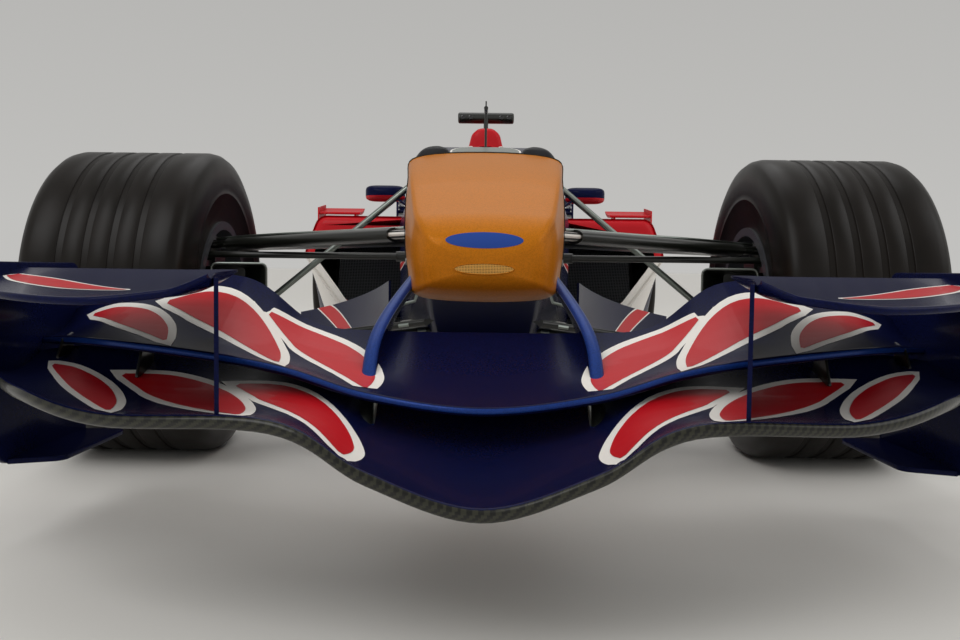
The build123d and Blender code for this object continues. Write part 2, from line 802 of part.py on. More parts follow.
def diffuser():
    """Ramps behind the floor with a central tunnel and upright strakes."""
    front, rear = FLOOR_REAR, DIFFUSER_REAR

    def ramp(x, low_front, low_rear):
        points = [(front, low_front), (rear, low_rear), (rear, low_rear + 6), (front, low_front + PANEL)]
        return side_plate((x[0] + x[1]) / 2, points, x[1] - x[0])

    side = ramp((STRAKES[0] - 4, REAR_BODY_HALF_WIDTH), STEP_PLANE, DIFFUSER_TOP)
    middle = ramp((-STRAKES[0] - 4, STRAKES[0] + 4), REFERENCE_PLANE, TUNNEL_TOP)
    fins = []
    for x in STRAKES:
        points = [(front, 60), (front, 98), (rear, 228), (rear, 120), (rear - 60, 92)]
        fins.append(side_plate(x, points, STRAKE_THICKNESS))
    left = joined(side, *fins)
    return joined(middle, left, mirror(left, about=Plane.YZ))


# Engine cover: station, then (x, z) of the crown, dome, side, neck, shoulder and foot
COVER_SECTIONS = [
    (ROLL_HOOP, (28, 974), (56, 950), (68, 900), (70, 790), (150, 690), (205, 600)),
    (ENGINE_FRONT + 20, (24, 958), (52, 925), (72, 870), (88, 760), (180, 650), (250, 540)),
    (ENGINE_REAR - 180, (18, 872), (39, 842), (57, 790), (80, 680), (150, 570), (215, 450)),
    (COVER_REAR - 180, (14, 737), (28, 714), (43, 670), (60, 590), (110, 500), (155, 400)),
    (COVER_REAR, (14, 642), (24, 622), (35, 590), (46, 530), (80, 465), (115, 390)),
]
COVER_RADIUS = 12


@cache
def cover_form(inset):
    outlines = []
    sections = eased_sections(COVER_SECTIONS, 2)
    last = len(sections) - 1
    for number, (station, *upper, foot) in enumerate(sections):
        half = [(x - inset, z - inset * 0.8) for x, z in upper]
        half.append((foot[0] - inset, foot[1] - (40 if inset else 0)))
        shift = 0
        if inset:
            shift = inset if number == 0 else inset * (number == last)
        outlines.append(across(station + shift, both_sides(half), COVER_RADIUS - inset / 2))
    return skin(outlines)


def airbox_mouth():
    corners = [(22, 964), (47, 942), (58, 900), (56, 840), (28, 812)]
    return skin(across(y, both_sides(corners), 12) for y in (ROLL_HOOP - 20, ROLL_HOOP + 60))


def engine_cover():
    shell = cut(cover_form(0), cover_form(SHELL_WALL), cell_body(), airbox_mouth())
    return largest(cut(shell, gearbox(), *exhaust_pipes()))


# Sidepods: station, then (x, z) of the inner top, outer top, outer side, outer low, inner low
SIDEPOD_SECTIONS = [
    (SIDEPOD_FRONT, (190, 602), (610, 604), (664, 460), (520, 262), (190, 262)),
    (SIDEPOD_FRONT + 330, (190, 600), (615, 592), (676, 430), (640, 100), (190, 100)),
    (SIDEPOD_FRONT + 760, (150, 556), (540, 540), (610, 370), (600, 100), (150, 100)),
    (SIDEPOD_REAR - 330, (90, 480), (350, 450), (420, 310), (420, 100), (90, 100)),
    (SIDEPOD_REAR, (60, 400), (170, 385), (215, 290), (215, 100), (60, 100)),
]
SIDEPOD_RADII = (50, 55, 50, 40, 25)


@cache
def sidepod_form(inset):
    outlines = []
    rows = [(*row, (radius, 0)) for row, radius in zip(SIDEPOD_SECTIONS, SIDEPOD_RADII)]
    for row in eased_sections(rows, 2):
        station, inner_top, outer_top, side, outer_low, inner_low, (radius, _) = row
        corners = [
            (inner_top[0] - 6 * inset, inner_top[1] - inset),
            (outer_top[0] - inset, outer_top[1] - inset),
            (side[0] - inset, side[1]),
            (outer_low[0] - inset, outer_low[1] + inset),
            (inner_low[0] - 6 * inset, inner_low[1] + inset),
        ]
        radii = [8, radius, radius, 20, 8]
        plane = Plane((0, station, 0), x_dir=(1, 0, 0), z_dir=(0, -1, 0))
        outlines.append(plane * FilletPolyline(*corners, radius=radii, close=True))
    return skin(outlines)


def below_floor_top():
    return block((-HALF_WIDTH, HALF_WIDTH), (SIDEPOD_FRONT - 100, SIDEPOD_REAR + 100), (-50, STEP_TOP))


@cache
def sidepod():
    shell = cut(sidepod_form(0), sidepod_form(SHELL_WALL))
    inner = [rear_upper_wishbone(), rear_lower_wishbone(), gearbox(), engine(), *exhaust_pipes()]
    shell = cut(shell, cell_body(), cover_form(0), below_floor_top(), *inner)
    return largest(shell)


RADIATOR_FINS = 12


def radiator():
    """Radiator core across the left duct, leaning forward, with its fins."""
    core = Pos(430, SIDEPOD_FRONT + 330, 320) * (
        Rot(0, 0, -18) * (Rot(24, 0, 0) * Box(330, 70, 360))
    )
    inside = sidepod_form(SHELL_WALL + 0.0)
    core = cut(core & inside, cell_body(), below_floor_top())
    return largest(core)


@cache
def engine():
    profile = [(-200, 106), (200, 106), (235, 290), (120, 440), (-120, 440), (-235, 290)]
    face = Plane((0, ENGINE_FRONT, 0), x_dir=(1, 0, 0), z_dir=(0, 1, 0)) * make_face(
        Polyline(*[(x, -z) for x, z in profile], close=True)
    )
    return extrude(face, ENGINE_LENGTH)


# Gearbox: station, then (x, z) of its top and bottom corners
GEARBOX_SECTIONS = [
    (ENGINE_REAR, (115, 420), (125, 112)),
    (REAR_AXLE - 60, (100, 420), (105, 130)),
    (GEARBOX_REAR, (72, 390), (78, 205)),
]


@cache
def gearbox():
    body = skin(
        (across(y, both_sides([top, low]), 24) for y, top, low in GEARBOX_SECTIONS)
    )
    bore = Plane((0, REAR_AXLE, AXLE_HEIGHT), z_dir=(1, 0, 0)) * Cylinder(
        STUB_RADIUS + RUNNING_CLEARANCE, 500
    )
    return body - bore


def crash_structure():
    ends = [(GEARBOX_REAR, [(70, 388), (74, 262)]), (TAIL - 30, [(48, 388), (48, 300)])]
    return skin(across(y, both_sides(half), 20) for y, half in ends) - beam_wing()


def rain_light():
    return block((-34, 34), (TAIL - 30, TAIL - 4), (322, 372))


# Rear wing
REAR_WING_HALF = REAR_BODY_HALF_WIDTH - WING_PLATE
REAR_WING_TOP = REFERENCE_PLANE + 800


def rear_element(lead, trail, sag, thickness):
    table = [
        (x, REAR_AXLE + lead[0], lead[1], REAR_AXLE + trail[0], trail[1])
        for x in (-REAR_WING_HALF, REAR_WING_HALF)
    ]
    return wing(table, sag, thickness, 1)


@cache
def beam_wing():
    return rear_element((215, 372), (345, 408), 8, 12)


def rear_wing_planes():
    main = rear_element((160, 738), (385, 782), 22, 18)
    upper = rear_element((372, 806), (478, 840), 12, 10)
    return [main, upper]


def rear_endplate():
    front = REAR_AXLE + 95
    points = [
        (front, REAR_WING_TOP),
        (TAIL, REAR_WING_TOP),
        (TAIL, 470),
        (TAIL - 60, 250),
        (REAR_AXLE + 190, 250),
        (REAR_AXLE + 190, 480),
        (front, 620),
    ]
    return side_plate(REAR_WING_HALF + WING_PLATE / 2, points, WING_PLATE)


# Cockpit fittings


def seat():
    front, rear = COCKPIT_FRONT + 320, COCKPIT_REAR - 24
    points = [
        (front, COCKPIT_FLOOR),
        (front, 215),
        (front + 190, 190),
        (rear - 115, 560),
        (rear - 20, 560),
        (rear - 20, COCKPIT_FLOOR),
    ]
    body = side_plate(0, points, 340) & cockpit_room()
    scoop = side_plate(
        0,
        [
            (front - 10, 150),
            (front - 10, 260),
            (front + 200, 300),
            (rear - 130, 600),
            (rear - 80, 600),
            (front + 240, 175),
        ],
        270,
    )
    return largest(cut(body, scoop))


def headrest():
    rear = COCKPIT_REAR - 20
    body = block((-215, 215), (rear - 330, rear + 10), (590, 664)) & cockpit_room()
    inner = block((-122, 122), (rear - 400, rear - 70), (500, 700))
    return largest(body - inner)


def steering_wheel():
    """Steering wheel with cut-off top and bottom, its boss and column."""
    plane = Plane(
        origin=column_line(0), x_dir=(1, 0, 0), z_dir=Vector(*column_line(-1)) - Vector(*column_line(0))
    )
    corners = [(60, 68), (128, 78), (136, -40), (100, -82), (-100, -82), (-136, -40), (-128, 78), (-60, 68)]
    outline = FilletPolyline(*corners, radius=16, close=True)
    body = extrude(plane * make_face(outline), 14, both=True)
    gaps = []
    for side in (-1, 1):
        slot = Pos(side * 96, -4) * RectangleRounded(26, 72, 12)
        gaps.append(extrude(plane * slot, 30, both=True))
    body = cut(body, *gaps)
    column = rod(column_line(0), column_line(COLUMN_LENGTH), COLUMN_RADIUS)
    boss = rod(column_line(8), column_line(60), 24)
    return joined(body, boss, column)


# Small aerodynamic parts and trim


def bargeboard():
    front, rear = FRONT_AXLE + 400, SIDEPOD_FRONT - 80
    face = Face(
        Wire(
            [
                ThreePointArc((250, front), (390, front + 380), (655, rear)),
                Line((655, rear), (655, rear - 6)),
                ThreePointArc((655, rear - 6), (396, front + 376), (256, front)),
                Line((256, front), (250, front)),
            ]
        )
    )
    board = Solid.extrude(Pos(0, 0, 70) * face, Vector(0, 0, 310))
    top = side_plate(
        450, [(front - 10, 380), (rear + 10, 250), (rear + 10, 500), (front - 10, 500)], 600
    )
    stay = rod((180, front + 160, 330), (322, front + 220, 300), 5)
    stay_low = rod((150, front + 130, 75), (300, front + 160, 90), 5)
    return largest(cut(joined(board - top, stay, stay_low), cell_body(), floor_plate()))


def side_winglet():
    """Winglet on a post above the left sidepod, with its end plate."""
    front = SIDEPOD_FRONT + 470
    table = [
        (520, front, 640, front + 150, 668),
        (690, front, 640, front + 150, 668),
    ]
    plane = wing(table, 8, 10, 1)
    post = side_plate(545, [(front + 20, 500), (front + 30, 645), (front + 110, 655), (front + 130, 500)], 7)
    end = side_plate(692, [(front - 12, 610), (front - 12, 662), (front + 160, 684), (front + 160, 600)], 5)
    return joined(plane, cut(post, sidepod_form(0)), end)


def side_flip():
    """Flip-up ahead of the rear tyre, standing on the floor's edge."""
    rear = REAR_AXLE - 400
    table = [
        (420, rear - 230, 250, rear - 40, 372),
        (FLOOR_HALF_WIDTH - 6, rear - 230, 250, rear - 40, 372),
    ]
    plane = wing(table, 10, 10, 1)
    end = side_plate(
        FLOOR_HALF_WIDTH - 3,
        [(rear - 420, STEP_TOP), (rear - 240, 270), (rear - 30, 395), (rear - 30, 290), (rear - 130, STEP_TOP)],
        6,
    )
    return largest(cut(joined(plane, end), sidepod_form(0)))


MIRROR_X = (272, 402)
MIRROR_STATION = COCKPIT_FRONT + 290
MIRROR_HEIGHT = (638, 690)


def mirror_pod():
    outer = block(MIRROR_X, (MIRROR_STATION - 60, MIRROR_STATION), MIRROR_HEIGHT)
    outer = fillet(outer.edges().filter_by(GeomType.LINE), 14)
    face = block(
        (MIRROR_X[0] + 8, MIRROR_X[1] - 8),
        (MIRROR_STATION - 4, MIRROR_STATION + 1),
        (MIRROR_HEIGHT[0] + 8, MIRROR_HEIGHT[1] - 8),
    )
    stay = arm((236, MIRROR_STATION - 34, 606), (300, MIRROR_STATION - 34, 652), 26, 8)
    return largest(cut(joined(outer, stay), face, cell_body()))


def mirror_glass():
    return block(
        (MIRROR_X[0] + 8, MIRROR_X[1] - 8),
        (MIRROR_STATION - 4, MIRROR_STATION - 1),
        (MIRROR_HEIGHT[0] + 8, MIRROR_HEIGHT[1] - 8),
    )


CAMERA_HEIGHT = 1024


def onboard_camera():
    station = ROLL_HOOP + 60
    pod = Pos(0, station, CAMERA_HEIGHT) * (Rot(0, 90, 0) * Cylinder(22, 226))
    pod = fillet(pod.edges(), 8)
    stem = arm((0, station, 940), (0, station, CAMERA_HEIGHT), 60, 18)
    return cut(joined(pod, stem), cover_form(0))


def antennas():
    """Whip on the airbox and the air-speed mast ahead of the cockpit."""
    whip = rod((0, ROLL_HOOP + 200, 930), (0, ROLL_HOOP + 200, 1118), 3)
    mast_station = FRONT_AXLE + 250
    mast = arm((0, mast_station, 640), (0, mast_station, 800), 18, 6)
    tip = rod((0, mast_station - 60, 803), (0, mast_station + 8, 803), 5)
    return [cut(whip, cover_form(0)), cut(joined(mast, tip), cell_body())]


EXHAUST_START = (215, ENGINE_REAR - 250, 400)
EXHAUST_END = (262, ENGINE_REAR - 50, 545)
EXHAUST_RADIUS = 38
EXHAUST_WALL = 4


@cache
def exhaust_pipes():
    return pair(rod(EXHAUST_START, EXHAUST_END, EXHAUST_RADIUS))


def exhaust():
    pipe = rod(EXHAUST_START, EXHAUST_END, EXHAUST_RADIUS)
    bore = rod(EXHAUST_START, EXHAUST_END, EXHAUST_RADIUS - EXHAUST_WALL)
    return cut(pipe, bore, engine())


# Pads over the chassis's front corners: station, then (x, z) round each from its inner top
PAD_SECTIONS = [
    (FRONT_BULKHEAD + 6, (66, 650), (126, 648), (156, 588), (140, 560), (66, 600)),
    (FRONT_BULKHEAD + 126, (70, 667), (132, 665), (167, 605), (150, 575), (70, 620)),
]


def front_pad():
    pad = skin(across(y, corners, 8) for y, *corners in PAD_SECTIONS)
    return largest(cut(pad, cell_body()))


def save(name, *shapes):
    solids = []
    for shape in shapes:
        solids += shape if isinstance(shape, list) else shape.solids()
    export_step(Compound(children=solids) if len(solids) > 1 else solids[0], f"parts/{name}.step")


def main():
    os.makedirs("parts", exist_ok=True)
    save("survival_cell", survival_cell())
    save("nose_cone", nose_cone())
    save("front_wing_main_plane", main_plane())
    save("front_wing_pylons", pair(pylon()))
    save("front_wing_flap", flap())
    save("front_wing_fences", pair(fence()))
    save("front_wing_winglets", pair(winglet()))
    save("front_wing_endplates", pair(endplate()))
    save("front_upper_wishbones", pair(front_upper_wishbone()))
    save("front_lower_wishbones", pair(front_lower_wishbone()))
    save("front_pushrods", pair(front_pushrod()))
    save("steering_rack", steering_rack())
    save("steering_wheel", steering_wheel())
    save("floor", floor_plate())
    save("plank", plank())
    save("diffuser", diffuser())
    save("engine_cover", engine_cover())
    for side, word in ((1, "left"), (-1, "right")):
        save(f"sidepod_{word}", turned(sidepod(), side))
        save(f"front_upright_{word}", turned(front_upright(), side))
    save("radiators", pair(radiator()))
    save("bargeboards", pair(bargeboard()))
    save("side_winglets", pair(side_winglet()))
    save("side_flips", pair(side_flip()))
    save("mirror_pods", pair(mirror_pod()))
    save("mirror_glasses", pair(mirror_glass()))
    save("engine", engine())
    save("gearbox", gearbox())
    save("exhausts", pair(exhaust()))
    save("rear_upper_wishbones", pair(rear_upper_wishbone()))
    save("rear_lower_wishbones", pair(rear_lower_wishbone()))
    save("rear_toe_links", pair(rear_rod(REAR_TOE_LINK)))
    save("rear_pushrods", pair(rear_rod(REAR_PUSHROD)))
    save("rear_uprights", pair(rear_upright()))
    save("rear_wing_planes", rear_wing_planes())
    save("rear_wing_endplates", pair(rear_endplate()))
    save("beam_wing", beam_wing())
    save("crash_structure", crash_structure())
    save("rain_light", rain_light())
    save("seat", seat())
    save("headrest", headrest())
    save("onboard_camera", onboard_camera())
    save("antennas", antennas())
    save("front_pads", pair(front_pad()))
    ends = [
        ("front", FRONT_AXLE, FRONT_TYRE_WIDTH, front_centre(), front_hub_inner(), STUB_RADIUS),
        ("rear", REAR_AXLE, REAR_TYRE_WIDTH, rear_centre(), rear_hub_inner(), 0),
    ]
    for end, axle, width, centre, hub_inner, bore in ends:
        bore_radius = bore + RUNNING_CLEARANCE if bore else 0
        wheel_rim = rim(width, hub_inner - centre, bore_radius)
        disc_low = DISC_X - DISC_THICKNESS / 2 - centre
        disc = brake_disc(disc_low, disc_low + DISC_THICKNESS)
        for side, word in ((1, "left"), (-1, "right")):
            save(f"{end}_tyre_{word}", placed(tyre(width), side, centre, axle))
            save(f"{end}_brake_disc_{word}", placed(disc, side, centre, axle))
            shape = placed(wheel_rim, side, centre, axle)
            if end == "rear":
                shape = joined(shape, turned(driveshaft(), side))
            save(f"{end}_rim_{word}", shape)


if __name__ == "__main__":
    main()
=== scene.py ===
import json
import math

import bmesh
import bpy
from bpy.props import FloatProperty, FloatVectorProperty, IntProperty, PointerProperty
from mathutils import Matrix, Vector
from mathutils.bvhtree import BVHTree


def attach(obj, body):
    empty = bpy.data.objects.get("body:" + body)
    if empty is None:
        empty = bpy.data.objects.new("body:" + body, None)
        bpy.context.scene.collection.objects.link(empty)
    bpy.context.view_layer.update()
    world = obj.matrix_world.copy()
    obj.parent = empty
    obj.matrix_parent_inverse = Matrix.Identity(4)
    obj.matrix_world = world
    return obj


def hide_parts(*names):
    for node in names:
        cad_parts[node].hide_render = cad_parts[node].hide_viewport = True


bl_info = {
    "name": "Single-seater racing car dressing",
    "version": (1, 0, 0),
    "blender": (4, 5, 0),
    "location": "View3D > Sidebar > Racing car",
    "description": "Finishes and fine pieces for a packed single-seater racing car",
    "category": "Add Mesh",
}

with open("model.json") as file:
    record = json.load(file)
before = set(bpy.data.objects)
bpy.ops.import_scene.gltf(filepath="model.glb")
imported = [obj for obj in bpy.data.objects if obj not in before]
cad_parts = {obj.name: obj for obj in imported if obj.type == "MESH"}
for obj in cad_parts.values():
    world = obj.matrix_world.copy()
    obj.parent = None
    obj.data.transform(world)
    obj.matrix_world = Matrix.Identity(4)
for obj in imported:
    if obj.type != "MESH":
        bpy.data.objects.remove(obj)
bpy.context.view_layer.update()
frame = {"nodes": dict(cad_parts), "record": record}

MM = 0.001
SIDES = ((1, "left"), (-1, "right"))

# Main stations of the car, in millimetres
WING_LEAD = -2325
FRONT_AXLE = -1195
REAR_AXLE = 1835
TAIL = 2325
FRONT_BULKHEAD = FRONT_AXLE - 270
NOSE_TIP = FRONT_AXLE - 725
COCKPIT_FRONT = FRONT_AXLE + 775
COCKPIT_REAR = FRONT_AXLE + 1560
ROLL_HOOP = FRONT_AXLE + 1625
SIDEPOD_FRONT = FRONT_AXLE + 1300
ENGINE_REAR = REAR_AXLE - 455
ENGINE_FRONT = ENGINE_REAR - 580
COVER_REAR = REAR_AXLE - 130
SIDEPOD_REAR = REAR_AXLE - 235
AXLE_HEIGHT = 330

# Camera of the photograph: its turns in degrees, and pixels of the 960 by 640 frame
CAMERA_PITCH = 3.14
CAMERA_YAW = 0.22
CAMERA_ROLL = 0.7
FRAME_WIDTH = 960
FOCAL_PIXELS = 912
HORIZON = 270


def linear(colour):
    """Linear colour, with alpha, from an sRGB hex such as "1d2a5c"."""
    channels = [int(colour[i : i + 2], 16) / 255 for i in (0, 2, 4)]
    return (*[c / 12.92 if c <= 0.04045 else ((c + 0.055) / 1.055) ** 2.4 for c in channels], 1)


def colour_setting(name, description, colour):
    return FloatVectorProperty(
        name=name, description=description, subtype="COLOR", size=4, min=0, max=1, default=linear(colour)
    )


def length_setting(name, description, size):
    return FloatProperty(name=name, description=description, default=size, unit="LENGTH")


# A real flake is about 0.03 mm wide and a real tow 2 mm: both are drawn coarser, so that they show
class PaintSettings(bpy.types.PropertyGroup):
    navy: colour_setting("Body", "Metallic paint of the body and wings", "0d1238")
    # Edges: brighter blue painted on the rounded leading edges as a painted highlight
    edge_blue: colour_setting("Edges", "Brighter blue of the rounded leading edges", "183a84")
    gold: colour_setting("Nose", "Metallic paint of the nose", "ba6e15")
    red: colour_setting("Red", "Gloss paint of the sidepods and sweeps", "b8101c")
    white: colour_setting("White", "Gloss paint of the edging", "e6e2dc")
    flake: length_setting("Flake", "Width of a metal flake", 0.0015)
    twill: length_setting("Twill", "Width of a carbon tow", 0.003)
    lift: length_setting("Lift", "Thickness of a painted sweep", 0.0004)


class SoftSettings(bpy.types.PropertyGroup):
    voxel: length_setting("Voxel", "Grid that a pad is remeshed on", 0.005)
    pressure: FloatProperty(name="Pressure", description="Air pressure that swells a pad", default=4.0, min=0)
    swell: length_setting("Swell", "Furthest that a pad's skin may move", 0.006)
    belt: length_setting("Belt", "Width of the harness webbing", 0.048)


class TyreSettings(bpy.types.PropertyGroup):
    steps: IntProperty(name="Steps", description="Steps around a tyre", default=144, min=24)


class StageSettings(bpy.types.PropertyGroup):
    eye_height: length_setting("Eye height", "Camera above the floor", 0.41)
    eye_distance: length_setting("Eye distance", "Camera ahead of the front axle", 2.05)


def add(tree, kind, settings=None, **links):
    """Node of a kind, with its settings or colour stops, and inputs set or linked by name or number."""
    node = tree.nodes.new("ShaderNode" + kind)
    for name, value in (settings or {}).items():
        if name == "stops":
            for element, (position, colour) in zip(node.color_ramp.elements, value):
                element.position = position
                element.color = colour
        else:
            setattr(node, name, value)
    for key, value in links.items():
        socket = node.inputs[int(key[1:])] if key[0] == "_" else node.inputs[key.replace("_", " ")]
        if isinstance(value, bpy.types.NodeSocket):
            tree.links.new(value, socket)
        else:
            socket.default_value = value
    return node


def material(name, **shader):
    """Material with a Principled shader: returns it, its tree and the shader."""
    made = bpy.data.materials.new(name)
    made.use_nodes = True
    tree = made.node_tree
    bsdf = tree.nodes["Principled BSDF"]
    for key, value in shader.items():
        bsdf.inputs[key.replace("_", " ")].default_value = value
    return made, tree, bsdf


# Pattern sizes in millimetres. The real ones, which are estimates, are too fine to show in the
# render: about 5 for the ripple of sprayed lacquer, 0.5 for moulding grain and cloth, 0.1 for
# machining and casting marks, 0.3 for the grit of rubber, 1 for the ribs of webbing and 2 for a
# radiator's fins. They are drawn coarser, so that they show.
LACQUER_RIPPLE = 16.7
MOULD_GRAIN = 2.5
CLOTH_GRAIN = 1.11
GRIP_GRAIN = 0.83
METAL_GRAIN = 3.33
RUBBER_GRIT = 1.11
RIB_PITCH = 3.93
FIN_PITCH = 6
# Patches of bloom on a tyre and wires of a mesh, drawn at about their real size
BLOOM_PATCH = 71.4
MESH_PITCH = 2.2
# A wave texture repeats at this distance along an axis when its scale is one
WAVE_REPEAT = math.tau / 10


def per_metre(size):
    """Scale of a pattern whose size is in millimetres."""
    return 1 / (size * MM)


def metallic_paint(name, colour, deep, paint, metallic, rough, coat, shine=0.2):
    """Base coat with aluminium flake under clear lacquer: a soft glint inside a sharp gloss."""
    made, tree, bsdf = material(
        name,
        Metallic=metallic,
        Roughness=rough,
        Specular_IOR_Level=shine,
        Coat_Weight=coat,
        Coat_Roughness=0.04,
        Coat_IOR=1.35,
    )
    flakes = add(tree, "TexVoronoi", Vector=add(tree, "TexCoord").outputs["Object"], Scale=1 / paint.flake)
    tones = {"stops": ((0.1, deep), (0.7, colour))}
    base = add(tree, "ValToRGB", tones, Fac=flakes.outputs["Color"])
    tree.links.new(base.outputs["Color"], bsdf.inputs["Base Color"])
    return made


def gloss_paint(name, colour):
    """Solid colour under clear lacquer, with the slight ripple of a sprayed panel."""
    made, tree, bsdf = material(
        name, Base_Color=colour, Roughness=0.4, Specular_IOR_Level=0.15, Coat_Weight=0.1, Coat_Roughness=0.03
    )
    place = add(tree, "TexCoord").outputs["Object"]
    ripple = add(tree, "TexNoise", Vector=place, Scale=per_metre(LACQUER_RIPPLE), Detail=2.0)
    bump = add(tree, "Bump", Height=ripple.outputs["Fac"], Strength=0.02, Distance=0.002)
    tree.links.new(bump.outputs["Normal"], bsdf.inputs["Coat Normal"])
    return made


def carbon_twill(name, paint):
    """Two-by-two twill under lacquer: diagonal steps of light and dark tows."""
    made, tree, bsdf = material(
        name, Roughness=0.35, Specular_IOR_Level=0.3, Coat_Weight=0.25, Coat_Roughness=0.05
    )
    place = add(tree, "SeparateXYZ", Vector=add(tree, "TexCoord").outputs["Object"])
    along = add(tree, "Math", {"operation": "SUBTRACT"}, _0=place.outputs["Y"], _1=place.outputs["Z"])
    steps = []
    for value in (place.outputs["X"], along.outputs[0]):
        scaled = add(tree, "Math", {"operation": "MULTIPLY"}, _0=value, _1=1 / paint.twill)
        steps.append(add(tree, "Math", {"operation": "FLOOR"}, _0=scaled.outputs[0]).outputs[0])
    total = add(tree, "Math", {"operation": "ADD"}, _0=steps[0], _1=steps[1])
    turn = add(tree, "Math", {"operation": "FLOORED_MODULO"}, _0=total.outputs[0], _1=4.0)
    over = add(tree, "Math", {"operation": "LESS_THAN"}, _0=turn.outputs[0], _1=1.5)
    tones = {"stops": ((0, linear("0d0d08")), (1, linear("28281d")))}
    tow = add(tree, "ValToRGB", tones, Fac=over.outputs[0])
    tree.links.new(tow.outputs["Color"], bsdf.inputs["Base Color"])
    return made


def moulded(name, colour, rough=0.4, grain=MOULD_GRAIN, coat=0.0, depth=0.0):
    """Satin moulded or painted surface: fine grain varies its gloss, and with a depth its height."""
    made, tree, bsdf = material(
        name, Base_Color=linear(colour), Roughness=rough, Coat_Weight=coat, Coat_Roughness=0.2
    )
    place = add(tree, "TexCoord").outputs["Object"]
    noise = add(tree, "TexNoise", Vector=place, Scale=per_metre(grain), Detail=3.0)
    spread = add(tree, "MapRange", Value=noise.outputs["Fac"], To_Min=rough - 0.08, To_Max=rough + 0.08)
    tree.links.new(spread.outputs["Result"], bsdf.inputs["Roughness"])
    if depth:
        bump = add(tree, "Bump", Height=noise.outputs["Fac"], Strength=0.4, Distance=depth * MM)
        tree.links.new(bump.outputs["Normal"], bsdf.inputs["Normal"])
    return made


def racing_rubber(name):
    """Moulded rubber, satin: a bloom dulls and pales it in patches, and a fine grit breaks its gloss."""
    made, tree, bsdf = material(name, Roughness=0.36, Specular_IOR_Level=0.2)
    place = add(tree, "TexCoord").outputs["Object"]
    bloom = add(tree, "TexNoise", Vector=place, Scale=per_metre(BLOOM_PATCH), Detail=6.0)
    tones = {"stops": ((0, linear("0a0806")), (1, linear("19130f")))}
    base = add(tree, "ValToRGB", tones, Fac=bloom.outputs["Fac"])
    tree.links.new(base.outputs["Color"], bsdf.inputs["Base Color"])
    spread = add(tree, "MapRange", Value=bloom.outputs["Fac"], To_Min=0.26, To_Max=0.46)
    tree.links.new(spread.outputs["Result"], bsdf.inputs["Roughness"])
    grit = add(tree, "TexNoise", Vector=place, Scale=per_metre(RUBBER_GRIT), Detail=2.0)
    bump = add(tree, "Bump", Height=grit.outputs["Fac"], Strength=0.15, Distance=0.0004)
    tree.links.new(bump.outputs["Normal"], bsdf.inputs["Normal"])
    return made


def metal(name, colour, rough):
    """Machined or cast metal, with fine variation of its gloss."""
    made, tree, bsdf = material(name, Base_Color=linear(colour), Metallic=1.0, Roughness=rough)
    place = add(tree, "TexCoord").outputs["Object"]
    noise = add(tree, "TexNoise", Vector=place, Scale=per_metre(METAL_GRAIN), Detail=4.0)
    spread = add(tree, "MapRange", Value=noise.outputs["Fac"], To_Min=rough - 0.08, To_Max=rough + 0.1)
    tree.links.new(spread.outputs["Result"], bsdf.inputs["Roughness"])
    return made


def grid_metal(name, pitch, share, hole_shade, face):
    """Thin bright wires or fins in rows across the car and up, over gaps painted dark as painted shade of the
    hole behind.
    """
    made, tree, bsdf = material(name, Metallic=0.6, Roughness=0.4)
    place = add(tree, "SeparateXYZ", Vector=add(tree, "TexCoord").outputs["Object"])
    bars = []
    for axis in ("X", "Z"):
        scaled = add(tree, "Math", {"operation": "MULTIPLY"}, _0=place.outputs[axis], _1=per_metre(pitch))
        part = add(tree, "Math", {"operation": "FRACT"}, _0=scaled.outputs[0])
        bars.append(add(tree, "Math", {"operation": "LESS_THAN"}, _0=part.outputs[0], _1=share).outputs[0])
    wire = add(tree, "Math", {"operation": "MAXIMUM"}, _0=bars[0], _1=bars[1])
    # The gaps between wires or fins are painted shade
    tones = {"stops": ((0, linear(hole_shade)), (1, linear(face)))}
    base = add(tree, "ValToRGB", tones, Fac=wire.outputs[0])
    tree.links.new(base.outputs["Color"], bsdf.inputs["Base Color"])
    return made


def webbing(name, colour):
    """Woven polyester belt: matt, with slanting ribs."""
    made, tree, bsdf = material(name, Base_Color=linear(colour), Roughness=0.75)
    place = add(tree, "TexCoord").outputs["Object"]
    scale = WAVE_REPEAT * per_metre(RIB_PITCH)
    ribs = add(tree, "TexWave", {"bands_direction": "DIAGONAL"}, Vector=place, Scale=scale)
    bump = add(tree, "Bump", Height=ribs.outputs["Fac"], Strength=0.5, Distance=0.0005)
    tree.links.new(bump.outputs["Normal"], bsdf.inputs["Normal"])
    return made


FINISH = {}


